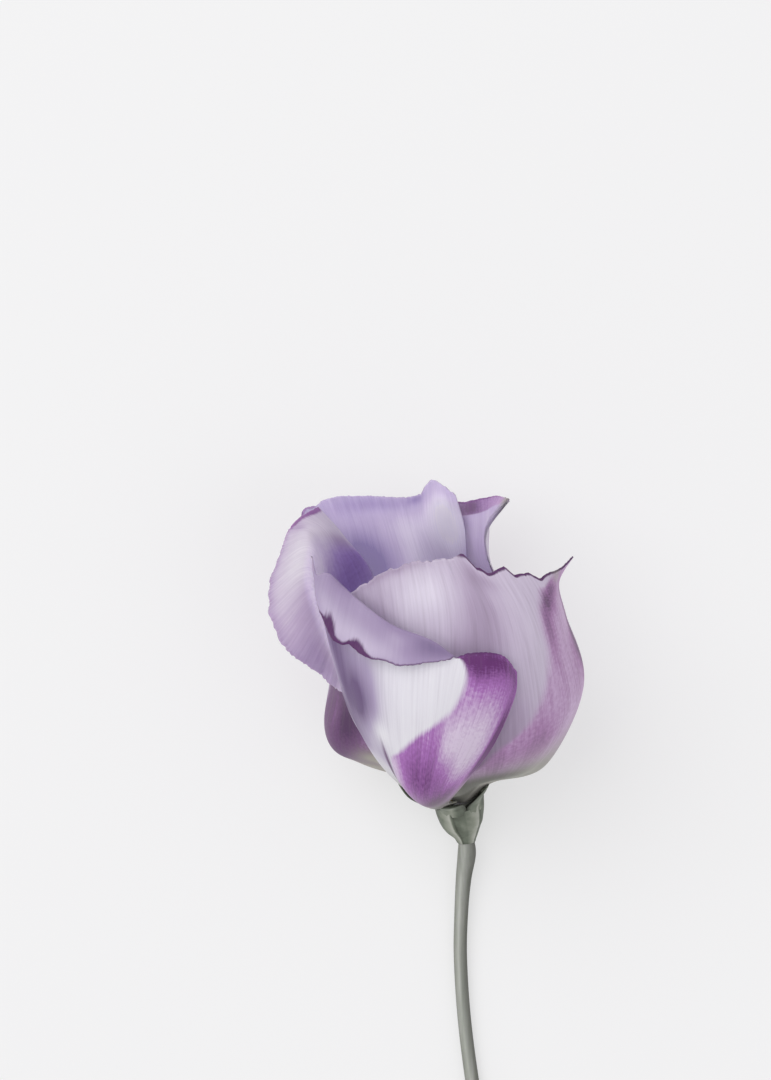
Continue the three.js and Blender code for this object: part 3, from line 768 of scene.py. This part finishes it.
FRONT_SHAPE = {
    **PETAL_SHAPE,
    "rim_line": [(0, 0), (0.31, -0.2), (0.35, -0.5), (0.375, 0.2), (0.45, 0.1), (0.525, 0.5),
                 (0.545, 0.1), (0.575, -0.35), (0.625, 0.05), (0.65, 0.15), (0.675, -0.35),
                 (0.7, -0.7), (0.72, 0.6), (0.75, 1.35), (0.775, 1.15), (0.8, 0.7), (0.825, 0.05),
                 (0.85, -0.25), (1, 0)],
    "ruffle": [(0, 0.3), (0.6, 0.3), (0.75, 0.6), (1, 0.4)],
    "tooth": [(0, 0.22)],
    "flush_out": [(0.3, 0.8), (0.42, 0.66), (0.5, 0.625), (0.56, 0.61), (0.585, 0.55),
                  (0.62, 0.49), (0.68, 0.39), (0.74, 0.32), (0.82, 0.295), (0.92, 0.325),
                  (1, 0.355)],
    # Painted shading on the outer face: violet down its left margin, partly its own colour and partly
    # painted shade in the hollow where it passes under the left petal and painted shadow of that
    # petal's edge; darker towards its foot
    "tone_and_painted_shading_out": (0.02, [
        (0.84, 0.67, 0.17, 0.075, 0.93), (0.97, 0.57, 0.17, 0.06, 0.93),
        (0.95, 0.75, 0.13, 0.05, 0.65), (0.67, 0.67, 0.055, 0.11, 0.3),
        (0.68, 0.53, 0.09, 0.04, 0.3), (0.75, 0.665, 0.045, 0.05, 0.4),
        (0.65, 0.61, 0.05, 0.03, -0.3), (0.3, 0.43, 0.2, 0.04, 0.4), (0.02, 0.36, 0.12, 0.1, 0.4),
        (0.25, 0.3, 0.4, 0.12, 0.55),
    ]),
    # On the lip's inner face: painted shade along its fold and towards its right end, painted light
    # in its middle
    "tone_and_painted_shading_in": (0.45, [
        (0.65, 0.97, 0.14, 0.035, -0.25), (0.42, 0.95, 0.1, 0.08, 0.12),
        (0.8, 0.96, 0.08, 0.03, -0.15), (0.79, 0.84, 0.05, 0.04, 0.4),
        (0.55, 0.85, 0.06, 0.03, 0.15), (0.46, 0.92, 0.1, 0.05, 0.28),
        (0.53, 0.92, 0.05, 0.03, -0.2),
    ]),
    # In the purple: darker at its foot, along its right edge and under the rolled lip, partly its own
    # colour and partly painted shade; lighter in its middle
    "depth_out": (0.5, [
        (0.22, 0.95, 0.2, 0.085, 0.6), (0.25, 0.87, 0.06, 0.04, 0.15),
        (0.15, 0.49, 0.07, 0.05, 0.3), (0.03, 0.65, 0.035, 0.12, 0.8),
        (0.3, 0.44, 0.15, 0.04, 0.5), (0.3, 0.68, 0.05, 0.05, -0.2), (0.2, 0.68, 0.13, 0.1, -0.5),
        (0.17, 0.6, 0.06, 0.07, -0.25), (0.3, 0.64, 0.05, 0.03, -0.1), (0.0, 0.75, 0.05, 0.3, 0.2),
        (0.42, 0.54, 0.16, 0.06, 0.34), (0.25, 0.48, 0.1, 0.05, 0.2), (0.6, 0.54, 0.05, 0.06, -0.5),
    ]),
    "stain": [(0, 0.3), (0.3, 0.7), (0.5, 0.7), (0.62, 0.75), (0.7, 0.85), (0.8, 1), (0.86, 0.5),
              (1, 0.3)],
    "stain_reach": 1.4,
    # The fleck low on the face at (0.655, 0.52) is a purple patch, widened to take in the painted
    # shadow of the sepal's point beside it
    "flecks": [
        (0.785, 1.0, 0.035, 0.045, 1.3), (0.665, 1.0, 0.032, 0.035, 1.3),
        (0.3, 1.0, 0.05, 0.02, 0.5), (0.655, 0.52, 0.03, 0.085, 0.85),
        (0.2, 0.97, 0.07, 0.03, 0.55),
    ],
    "foot": [(0, 1), (0.35, 0.95), (0.4, 0.72), (0.45, 0.35), (0.5, 0.08), (0.54, 0)],
    "green": [(0.0, 0.48, 0.06, 0.06, 0.4)],
}
FRONT_OUTER = {
    **PETAL_LOOK,
    "skin": ("#f7f5fc", "#b0a1c0", "#6a537c"), "purple": ("#ead6f1", "#b074be", "#682f70"),
    "stain": "#5d2f66", "foot": ("#a3a097", "#7d7a74", "#5f5c57"),
    "veins": 0.27, "soft": 0.9, "ragged": 1.4,
}
FRONT_INNER = {
    **PETAL_LOOK,
    "skin": ("#d8cde2", "#a08eb0", "#6a5580"), "stain": "#542a5c", "veins": 0.22,
}
petal(
    "petal_front_soft", "petal_front", FRONT_RIBS, FRONT_SHAPE, FRONT_OUTER, FRONT_INNER,
    ("#c9b6d4", "#552b60"), 1.0,
)

# Right petal: tall and upright, its rim a thin dark toothed line that runs out into a
# point. Beyond the crease at its right the skin is purple.
RIGHT_RIBS = [
    [(6, 0.2, 4.2), (7, 2.4, 9.6), (6, 7.5, 21), (-6, 24, 31), (-6, 42, 31.5), (6, 51, 32.5),
     (14, 60.3, 38.3)],
    [(22, 0.2, 4.2), (27, 4, 9.5), (20, 7.5, 22), (10, 25, 33.4), (10, 43, 33.3), (14, 53, 33.8),
     (19, 60.3, 36.6)],
    [(38, 0.2, 4.2), (36, 5.3, 10), (34, 11, 22.5), (27, 26, 33.2), (26, 44, 34.1), (26, 54, 34),
     (27, 61.3, 33.5)],
    [(54, 0.2, 4.2), (45, 6, 9.5), (47, 13, 22), (45, 27, 32), (42, 46, 33.5), (38, 57, 31.3),
     (36, 66.3, 27.5)],
    [(71, 0.3, 4.1), (55, 6.8, 9.5), (62, 14.5, 20), (63, 27, 28.6), (58, 46, 30.6), (48, 58.5, 26.5),
     (42, 70.5, 19.6)],
    [(88, 0.5, 4), (68, 6.5, 9.2), (78, 14.5, 17.5), (82, 27, 25.3), (78, 46, 26.8), (62, 60, 20.5),
     (47, 70, 14.2)],
    [(105, 0.9, 3.7), (90, 5.4, 8.3), (94, 12, 15.2), (103, 27, 22.5), (103, 45, 22), (98, 59, 15.5),
     (93, 68.9, 8.2)],
    [(122, 1.3, 3.3), (126, 4.8, 8.2), (110, 12.5, 14), (120, 27, 18.5), (128, 43, 18),
     (140, 56, 15.5), (148, 64.5, 15)],
]
RIGHT_SHAPE = {
    **PETAL_SHAPE,
    "rim_line": [(0, 1), (0.083, 1.25), (0.15, 0.2), (0.183, 0.6), (0.233, 1.2), (0.267, 0.8),
                 (0.297, -0.1), (0.335, 1.3), (0.367, 0.6), (0.398, -0.45), (0.418, 1.65),
                 (0.45, 0.2), (0.483, -1.6), (0.51, -2.8), (0.53, -1.8), (0.548, -2.1),
                 (0.568, 1.1), (0.6, 0.4), (0.64, -0.2), (0.685, -0.7), (0.717, 0), (0.75, -0.4),
                 (0.785, 0), (0.85, 0.1), (0.93, 0.6), (1, 0.4)],
    "curl": [(0, 0), (0.55, 0), (0.68, 0.8), (0.9, 0.6), (1, 0)],
    "ruffle": [(0, 0.3), (0.6, 0.3), (0.7, 1.1), (0.9, 1), (1, 0.3)],
    "tooth": [(0, 0.18), (0.6, 0.18), (0.7, 0.5), (0.93, 0.5), (1, 0.2)],
    "flush_out": [(0.38, 0.75), (0.45, 0.66), (0.5, 0.6), (0.54, 0.5), (0.6, 0.425), (0.66, 0.39),
                  (0.75, 0.385), (0.82, 0.37), (0.88, 0.34), (0.93, 0.31), (1, 0.22)],
    # Painted shading on the outer face: painted shade at its left under the front petal's lip and
    # along the rim under the back petals, painted light left of its middle with a darker band right
    # of that, and painted shadow low down where the front petal lies over it
    "tone_and_painted_shading_out": (0.3, [
        (0.62, 0.83, 0.08, 0.12, 0.3), (0.56, 0.94, 0.06, 0.04, 0.25), (0.86, 1.0, 0.1, 0.02, 0.3),
        (0.79, 0.9, 0.07, 0.07, -0.28), (0.97, 0.85, 0.08, 0.15, 0.2),
        (0.68, 0.74, 0.1, 0.05, 0.2), (0.42, 0.7, 0.05, 0.15, -0.06),
        (0.57, 0.55, 0.08, 0.08, 0.3), (0.66, 0.42, 0.13, 0.1, 0.65),
        (0.75, 0.27, 0.13, 0.15, 0.6), (0.56, 0.33, 0.12, 0.06, 0.5),
        (0.77, 0.15, 0.12, 0.12, 0.45),
    ]),
    "tone_and_painted_shading_in": (0.4, []),
    # In the purple beyond the crease: painted shade along the crease and towards the outer edge, and
    # darker low down
    "depth_out": (0.3, [
        (0.26, 0.91, 0.045, 0.06, 0.5), (0.31, 0.85, 0.035, 0.06, 0.55),
        (0.35, 0.76, 0.025, 0.12, 0.4), (0.12, 0.67, 0.035, 0.2, 0.5),
        (0.19, 0.6, 0.04, 0.06, 0.42), (0.165, 0.7, 0.018, 0.2, 0.5), (0.2, 0.7, 0.06, 0.1, -0.12),
        (0.3, 0.48, 0.07, 0.05, -0.12), (0.45, 0.47, 0.08, 0.06, 0.3), (0.6, 0.46, 0.06, 0.07, 0.3),
    ]),
    "stain": [(0, 0.9), (0.3, 1.0), (0.56, 1.0), (0.64, 0.35), (0.9, 0.15), (1, 0.1)],
    "stain_reach": 1.6,
    "flecks": [(0.51, 1.0, 0.035, 0.018, 0.7), (0.398, 1.0, 0.015, 0.015, 0.7),
               (0.3, 1.0, 0.018, 0.015, 0.7)],
    "foot": [(0, 1), (0.3, 1), (0.35, 0.88), (0.4, 0.46), (0.46, 0.1), (0.52, 0)],
    "green": [(0.2, 0.97, 0.03, 0.05, 0.6)],
}
RIGHT_OUTER = {
    **PETAL_LOOK,
    "skin": ("#e8dff0", "#b4a3bc", "#6e5a72"), "purple": ("#d8bede", "#ab80ae", "#68486c"),
    "stain": "#532c5a", "foot": ("#bbb9ae", "#85857a", "#59594e"),
    "veins": 0.45, "soft": 1.6, "ragged": 2.6,
}
RIGHT_INNER = {
    **PETAL_LOOK,
    "skin": ("#d5c9e2", "#a595bb", "#77618f"), "stain": "#5a2f66",
    "foot": ("#c5beca", "#a9a3b8", "#7f7890"),
}
petal(
    "petal_right_soft", "petal_right", RIGHT_RIBS, RIGHT_SHAPE, RIGHT_OUTER, RIGHT_INNER,
    ("#cdbfd6", "#4f2a54"), 2.0,
)

# Back right petal: only its inner face and its purple-streaked tip show above the right
# petal. Its plain outer face is the back petal's too.
BACK_RIGHT_RIBS = [
    [(-71, 0.2, 4.2), (-66, 2.3, 9.6), (-66, 10, 19), (-78, 25, 29.4), (-82, 42, 29.8),
     (-77, 52, 30.2), (-70, 57.5, 32.6)],
    [(-55, 0.4, 4), (-50, 2.3, 9.7), (-48, 8.5, 21), (-58, 26, 30.8), (-60, 43, 30), (-58, 51, 30.6),
     (-57, 56.8, 32.4)],
    [(-39, 0.6, 3.8), (-32, 2.2, 10), (-34, 8, 22), (-40, 26, 31.3), (-46, 43, 28), (-44, 53, 29),
     (-46, 59, 32.5)],
    [(-22, 0.9, 3.7), (-23, 2.2, 10), (-22, 8, 22), (-24, 26, 30.8), (-38, 43, 25.5), (-38, 56, 26.8),
     (-36, 61, 32.6)],
    [(-6, 1.1, 3.5), (-4, 2.8, 9.3), (-6, 8.5, 20), (-6, 25, 28.5), (-30, 41, 23.5), (-36, 56, 25),
     (-32, 61.4, 32.3)],
    [(10, 1.3, 3.3), (13, 4, 8), (12, 9.5, 18), (10, 24, 27.5), (-18, 37, 23), (-36, 53, 24.3),
     (-33, 60.5, 30.5)],
]
BACK_RIGHT_SHAPE = {
    **PETAL_SHAPE,
    "rim_line": [(0, 0), (0.2, -0.15), (0.25, 0.15), (0.4, 0), (0.5, 0.25), (0.6, -0.2),
                 (0.75, -0.25), (1, 0)],
    "ruffle": [(0, 0.3)],
    "tooth": [(0, 0.18)],
    "flush_out": [(0, 0.5)],
    "flush_in": [(0.86, -0.2), (0.93, 0.4), (1, 0.85)],
    "tone_and_painted_shading_in": (0.53, [
        (0.35, 0.85, 0.1, 0.1, -0.1), (0.45, 0.85, 0.05, 0.1, -0.15), (0.2, 0.88, 0.04, 0.05, 0.2),
    ]),
    "depth_in": (0.5, [(0.25, 0.96, 0.07, 0.05, 0.65), (0.6, 0.95, 0.15, 0.1, -0.4)]),
    "stain": [(0, 0.9), (0.4, 0.9), (0.6, 0.5), (1, 0.5)],
    "stain_reach": 1.5,
    "flecks": [(0.24, 0.97, 0.05, 0.03, 0.5)],
    "green": [(0.72, 1.0, 0.1, 0.06, 0.9)],
}
BACK_OUTER = {
    **PETAL_LOOK,
    "skin": ("#e9e1ee", "#b9acc2", "#7e6a86"), "purple": ("#d9bcdd", "#ac84b2", "#68416e"),
    "stain": "#6a3f74", "foot": ("#c6c3be", "#8d8a82", "#5d5b50"), "ragged": 3.5, "through": 0.85,
}
BACK_RIGHT_INNER = {
    **PETAL_LOOK,
    "skin": ("#e8dff2", "#b9a8cc", "#7d6796"), "purple": ("#b898c2", "#93729f", "#6c4874"),
    "stain": "#71407c", "foot": ("#b8b6ae", "#99978e", "#6d6b62"), "veins": 0.4, "through": 0.85,
}
petal(
    "petal_back_right_soft", "petal_back_right", BACK_RIGHT_RIBS, BACK_RIGHT_SHAPE, BACK_OUTER,
    BACK_RIGHT_INNER, ("#b3a5bb", "#6a3f74"), 3.0,
)

# Back petal: the broad pale inner face behind the opening, with a curled rim at its left.
# A painted glow on its inner face stands in for the light that comes through the other
# petals.
BACK_RIBS = [
    [(216, 0.2, 4.2), (222, 2.6, 9.6), (232, 10, 18.5), (222, 25, 27.2), (214, 42, 23), (216, 57, 23),
     (224, 66, 28.2)],
    [(229, 0.4, 4), (234, 2.4, 9.7), (240, 10, 19.3), (233, 25, 28.8), (229, 43, 24.8),
     (231, 59, 23.5), (233, 68.7, 27.8)],
    [(241, 0.6, 3.9), (252, 2.3, 9.8), (248, 10, 20), (244, 25, 29.6), (244, 44, 25.5), (245, 60, 24),
     (246, 68, 27.6)],
    [(254, 0.8, 3.8), (261, 2.3, 9.8), (262, 10, 19.8), (262, 25, 28.6), (262, 44, 26),
     (262, 58.5, 25), (262, 65, 27.9)],
    [(267, 0.9, 3.6), (270, 2.3, 9.6), (276, 10, 17.7), (280, 25, 27), (280, 43, 27), (279, 56, 26.6),
     (279, 61.8, 28.3)],
    [(279, 1.1, 3.5), (284, 2.8, 9.1), (288, 10, 17), (294, 25, 26.5), (294, 41, 27.3),
     (291, 53, 28.2), (291, 62, 33.2)],
    [(292, 1.3, 3.3), (301, 3.7, 8.1), (298, 10.5, 17), (306, 24, 26.2), (303, 41, 27.2),
     (304, 52.5, 29.2), (300, 59.3, 32.2)],
]
BACK_SHAPE = {
    **PETAL_SHAPE,
    "rim_line": [(0, 0), (0.13, 0.1), (0.167, 0.5), (0.2, 0.2), (0.25, -0.5), (0.3, 0.1),
                 (0.4, 0.2), (0.5, -0.1), (0.62, 0.2), (0.667, -0.1), (0.72, -1.1), (0.767, -1.9),
                 (0.795, -0.8), (0.83, 0), (0.9, -0.3), (1, -0.5)],
    "ruffle": [(0, 0.4)],
    "tooth": [(0, 0.16)],
    "flush_out": [(0, 0.5)],
    # Painted shading on the inner face: painted shade deep in the hollow left of its middle and along
    # the rim, painted light towards its right, where light comes through the petals in front
    "tone_and_painted_shading_in": (0.62, [
        (0.91, 0.82, 0.12, 0.11, -0.7), (0.68, 0.8, 0.14, 0.08, -0.3),
        (0.68, 0.68, 0.12, 0.08, -0.35), (0.38, 0.75, 0.09, 0.07, 0.35),
        (0.43, 0.69, 0.12, 0.08, 0.72), (1.0, 0.69, 0.06, 0.05, 0.2),
        (0.52, 0.95, 0.22, 0.05, 0.22), (0.88, 0.9, 0.08, 0.05, -0.3),
        (0.73, 0.97, 0.04, 0.03, 0.25),
    ]),
    "stain": [(0, 0.5), (0.1, 0.9), (0.2, 0.8), (0.27, 0.2), (0.75, 0.3), (1, 0.2)],
    "stain_reach": 1.0,
    "flecks": [(0.13, 1.0, 0.03, 0.02, 0.7), (0.22, 1.0, 0.03, 0.015, 0.5)],
    "green": [],
}
BACK_INNER = {
    **PETAL_LOOK,
    "skin": ("#f3eafa", "#b1a2c0", "#6c5590"), "stain": "#7a5187",
    "veins": 0.42, "ragged": 4.0, "through": 0.85, "glow": 0.16,
}
petal(
    "petal_back_soft", "petal_back", BACK_RIBS, BACK_SHAPE, BACK_OUTER, BACK_INNER,
    ("#cfc2da", "#7c5389"), 4.0,
)

# Left petal: rolled far out to the left, with fine purple pleats at its rim. Its foot
# bulges out below the front petal, purple and greenish.
LEFT_RIBS = [
    [(157, 1.3, 3.4), (138, 7.6, 8), (126, 15, 12.6), (129, 26, 18.2), (134, 36, 18.8),
     (142, 43, 19.5), (145, 41.5, 21.3)],
    [(168, 1.3, 3.4), (156, 9, 8.8), (160, 16.5, 15.5), (154, 25, 20.3), (150, 38, 19.6),
     (152, 51, 19.8), (155, 45, 23.8)],
    [(178, 1.3, 3.4), (170, 9.3, 9.6), (176, 16, 19), (172, 24, 24), (168, 39, 19.6), (166, 59, 18.8),
     (168, 51.2, 28)],
    [(188, 1.3, 3.4), (187, 6.8, 9.8), (189, 12.5, 18), (189, 23, 24.8), (187, 40, 19.8),
     (184, 65, 18.8), (186, 59.3, 30)],
    [(199, 1.3, 3.4), (199, 4.8, 9.5), (205, 12, 17.5), (207, 23, 24.3), (205, 42, 20.3),
     (203, 68, 18.6), (202, 64, 28.8)],
    [(210, 1.3, 3.4), (213, 4.2, 9.2), (218, 12, 16.4), (223, 24, 24.8), (222, 44, 21.3),
     (220, 67, 20.5), (219, 69, 27)],
    [(220, 1.3, 3.4), (228, 4.4, 8.2), (238, 12, 15.8), (246, 26, 26), (255, 46, 23), (243, 61, 21.6),
     (238, 68.8, 26.2)],
]
LEFT_SHAPE = {
    **PETAL_SHAPE,
    "rim_line": [(0, 0), (0.1, 0), (0.167, -0.4), (0.233, -1.0), (0.267, -1.0), (0.3, -0.7),
                 (0.333, -0.1), (0.4, 0.6), (0.467, 0.25), (0.5, 0), (0.567, -0.45),
                 (0.633, -0.15), (0.7, -1.0), (0.733, -1.1), (0.8, -0.3), (0.9, 0.15), (1, 0)],
    "ruffle": [(0, 0.4), (0.3, 0.8), (0.7, 0.8), (1, 0.4)],
    "tooth": [(0, 0.25)],
    "flush_out": [(0, 0.8), (0.45, 0.6), (0.7, 0.5), (1, 0.5)],
    # Inside, a violet deepens down into the cup: partly its own colour, partly painted shade in the
    # cup's depth
    "flush_in": [(0.7, 2.0), (0.76, 1.3), (0.8, 0.95), (0.86, 0.55), (0.92, 0)],
    "tone_and_painted_shading_out": (0.35, []),
    # Painted shading on the inner face: darker beside the front petal's lip and along the pleated
    # rim, partly painted shade, and lighter in a band between
    "tone_and_painted_shading_in": (0.3, [
        (0.24, 0.95, 0.14, 0.06, 0.5), (0.38, 0.87, 0.1, 0.05, 0.32),
        (0.62, 0.9, 0.14, 0.04, -0.2), (0.5, 1.0, 0.5, 0.025, 0.25),
        (0.84, 0.95, 0.03, 0.04, 0.25), (0.95, 0.8, 0.04, 0.04, 0.35),
    ]),
    # On the purple foot: painted light on the strip left of its crease and painted shade right of it,
    # where it tucks under the front petal's edge
    "depth_out": (0.62, [
        (0.23, 0.59, 0.07, 0.06, 0.5), (0.33, 0.6, 0.03, 0.04, -0.2),
        (0.12, 0.52, 0.05, 0.05, -0.3), (0.33, 0.45, 0.05, 0.05, 0.2),
    ]),
    # Deeper violet in the hollow beside the back petal: painted shade
    "depth_in": (0.05, [(0.97, 0.76, 0.1, 0.07, 0.72), (0.88, 0.69, 0.1, 0.06, 0.6)]),
    "stain": [(0, 0.5), (0.1, 0.45), (0.45, 0.48), (0.8, 0.55), (0.9, 0.7), (1, 0.9)],
    "stain_reach": 3.5,
    "flecks": [(0.87, 1.0, 0.04, 0.02, 0.6), (0.97, 1.0, 0.04, 0.02, 0.5)],
    "foot": [(0, 1), (0.3, 1), (0.35, 0.6), (0.4, 0.4), (0.45, 0.2), (0.5, 0.05), (0.56, 0)],
    "green": [(0.12, 0.43, 0.08, 0.06, 0.9), (0.3, 0.43, 0.07, 0.06, -0.3)],
}
LEFT_OUTER = {
    **PETAL_LOOK,
    "skin": ("#d9cbdf", "#a98fb3", "#6f4f79"), "purple": ("#a57bac", "#744c7a", "#513058"),
    "stain": "#5d3c62", "foot": ("#c2bcb2", "#948e82", "#605b52"),
}
# The inner purple is the violet that deepens into the cup, partly painted shade
LEFT_INNER = {
    **PETAL_LOOK,
    "skin": ("#ebe3ef", "#b29fbd", "#7b6490"), "purple": ("#e2d0f8", "#b89ede", "#9476bc"),
    "stain": "#86598f", "veins": 0.5, "soft": 14.0, "ragged": 4.0, "through": 0.85,
}
petal(
    "petal_left_soft", "petal_left", LEFT_RIBS, LEFT_SHAPE, LEFT_OUTER, LEFT_INNER,
    ("#cbb9d3", "#7d4f88"), 5.0,
)


# Pistil
# A fleshy green ovary with a short style and a two-lobed velvety stigma. It grows from the
# receptacle, in the bloom's middle.

# Its outline: radius and height, from the ovary's foot to the top of the style
OVARY = [(1.4, 0), (1.6, 1.5), (2.6, 5), (2.3, 9), (1.1, 11.8), (0.75, 14), (0.75, 19)]
OVARY_SIDES = 28
OVARY_STEPS = 30
STIGMA_RADIUS = 1.6
STIGMA_HEIGHT = 19.2
STIGMA_ASIDE = 1.0
STIGMA_FLATNESS = 0.7
STIGMA_BUMPS = 0.05
OVARY_MOTTLES_PER_MM = 0.7


def in_bloom(right, up, front):
    """A place counted from the bloom's base along its three directions."""
    return BLOOM_BASE + CUP_RIGHT * right + CUP_AXIS * up + CUP_FRONT * front


pistil_mesh = bmesh.new()
outline = [Vector((radius, 0, height)) for radius, height in OVARY]
profile = [through(outline, k / OVARY_STEPS) for k in range(OVARY_STEPS + 1)]
foot_middle, top_middle = Vector((0, 0, outline[0].z)), Vector((0, 0, outline[-1].z))
chain = [pistil_mesh.verts.new(point) for point in [foot_middle, *profile, top_middle]]
edges = [pistil_mesh.edges.new(pair) for pair in zip(chain, chain[1:])]
bmesh.ops.spin(
    pistil_mesh, geom=chain + edges, cent=(0, 0, 0), axis=(0, 0, 1), angle=2 * math.pi,
    steps=OVARY_SIDES, use_merge=True,
)
bmesh.ops.remove_doubles(pistil_mesh, verts=pistil_mesh.verts, dist=0.001)
for side in (-1, 1):
    lobe = bmesh.ops.create_uvsphere(pistil_mesh, u_segments=24, v_segments=14, radius=STIGMA_RADIUS)
    for vertex in lobe["verts"]:
        vertex.co *= 1 + STIGMA_BUMPS * noise.noise(vertex.co * 4)
        vertex.co.z *= STIGMA_FLATNESS
        vertex.co += Vector((side * STIGMA_ASIDE, 0, STIGMA_HEIGHT))
bmesh.ops.recalc_face_normals(pistil_mesh, faces=pistil_mesh.faces)
for vertex in pistil_mesh.verts:
    vertex.co = in_bloom(vertex.co.x, vertex.co.z, vertex.co.y)
bmesh.ops.reverse_faces(pistil_mesh, faces=pistil_mesh.faces)

# Smooth green ovary skin, mottled with yellow green
pistil_material, tree = new_material("green_ovary_skin")
place = add_node(tree, "TexCoord")["Object"]
mottle = add_node(tree, "TexNoise", {"Scale": OVARY_MOTTLES_PER_MM / MM, "Detail": 3.0},
                  {"Vector": place})["Fac"]
green = add_node(tree, "ValToRGB", None, {"Fac": mottle}, [(0.3, "#7d8f4e"), (0.7, "#b3bd78")])[0]
grain = add_node(tree, "Bump", {"Strength": 0.3, "Distance": 0.0002}, {"Height": mottle})
pistil_shader = add_node(
    tree, "BsdfPrincipled", {"Roughness": 0.45, "Specular IOR Level": 0.4},
    {"Base Color": green, "Normal": grain[0]},
)
add_node(tree, "OutputMaterial", None, {"Surface": pistil_shader[0]})
finished("ovary_and_stigma", pistil_mesh, [pistil_material], "pistil")


# Stamens
# Five thin filaments on one ring round the ovary's foot, each with a yellow two-celled
# anther that is dusty with pollen.

# The ring, the filament's way and the anther's middle: radius and height in the bloom. The
# pollen is drawn coarser than it is, so that it shows.
STAMENS = 5
RING_SIDES = 40
RING_PROFILE = [(1.95, 0), (2.55, 0), (2.55, 0.8), (1.95, 0.8)]
FILAMENT = [(2.2, 0.3), (3.0, 4), (4.3, 8), (5.6, 12)]
FILAMENT_RADIUS = 0.35
FILAMENT_TAPER = 0.35
FILAMENT_SIDES = 10
FILAMENT_STEPS = 16
ANTHER_MIDDLE = (5.7, 12.6)
ANTHER_LENGTH = 2.3
ANTHER_WIDTH = 0.825
ANTHER_DEPTH = 0.75
ANTHER_TILT = 0.5
GROOVE_DEPTH = 0.3
GROOVE_WIDTH = 0.25
POLLEN_PER_MM = 3.5

stamen_mesh = bmesh.new()
corners = [stamen_mesh.verts.new((r, 0, h)) for r, h in RING_PROFILE]
band = [stamen_mesh.edges.new((corners[k], corners[(k + 1) % 4])) for k in range(4)]
bmesh.ops.spin(
    stamen_mesh, geom=corners + band, cent=(0, 0, 0), axis=(0, 0, 1), angle=2 * math.pi,
    steps=RING_SIDES, use_merge=True,
)
for vertex in stamen_mesh.verts:
    vertex.co = in_bloom(vertex.co.x, vertex.co.z, vertex.co.y)


def filament_ring(points, share):
    """A round section of a filament, which thins towards its anther."""
    middle = through(points, share)
    above, side = ring_frame(heading(points, share))
    radius = FILAMENT_RADIUS * (1 - FILAMENT_TAPER * share)
    return lambda turn: middle + (above * math.cos(turn) + side * math.sin(turn)) * radius


for k in range(STAMENS):
    turn = 2 * math.pi * (k + 0.5) / STAMENS
    path = [in_bloom(r * math.cos(turn), h, r * math.sin(turn)) for r, h in FILAMENT]
    rings = [filament_ring(path, step / FILAMENT_STEPS) for step in range(FILAMENT_STEPS + 1)]
    foot, tip = grow_tube(stamen_mesh, FILAMENT_SIDES, rings)
    close_end(stamen_mesh, foot)
    close_end(stamen_mesh, tip)
    anther = bmesh.ops.create_uvsphere(stamen_mesh, u_segments=16, v_segments=12, radius=1.0)
    for vertex in anther["verts"]:
        groove = GROOVE_DEPTH * math.exp(-((vertex.co.x / GROOVE_WIDTH) ** 2))
        across = vertex.co.x * ANTHER_WIDTH
        out = vertex.co.y * ANTHER_DEPTH * (1 - groove * abs(vertex.co.y))
        up = vertex.co.z * ANTHER_LENGTH
        radial = ANTHER_MIDDLE[0] + out * math.cos(ANTHER_TILT) + up * math.sin(ANTHER_TILT)
        height = ANTHER_MIDDLE[1] + up * math.cos(ANTHER_TILT) - out * math.sin(ANTHER_TILT)
        vertex.co = in_bloom(
            radial * math.cos(turn) - across * math.sin(turn),
            height,
            radial * math.sin(turn) + across * math.cos(turn),
        )
bmesh.ops.recalc_face_normals(stamen_mesh, faces=stamen_mesh.faces)

# Dusty yellow pollen over soft anthers and filaments
stamen_material, tree = new_material("dusty_yellow_anther")
place = add_node(tree, "TexCoord")["Object"]
dust = add_node(tree, "TexNoise", {"Scale": POLLEN_PER_MM / MM, "Detail": 2.0},
                {"Vector": place})["Fac"]
yellow = add_node(tree, "ValToRGB", None, {"Fac": dust}, [(0.35, "#c9a43c"), (0.7, "#ecd478")])[0]
grain = add_node(tree, "Bump", {"Strength": 0.5, "Distance": 0.0001}, {"Height": dust})
stamen_shader = add_node(
    tree, "BsdfPrincipled", {"Roughness": 0.8, "Specular IOR Level": 0.2},
    {"Base Color": yellow, "Normal": grain[0]},
)
add_node(tree, "OutputMaterial", None, {"Surface": stamen_shader[0]})
finished("filaments_and_anthers", stamen_mesh, [stamen_material], "stamens")
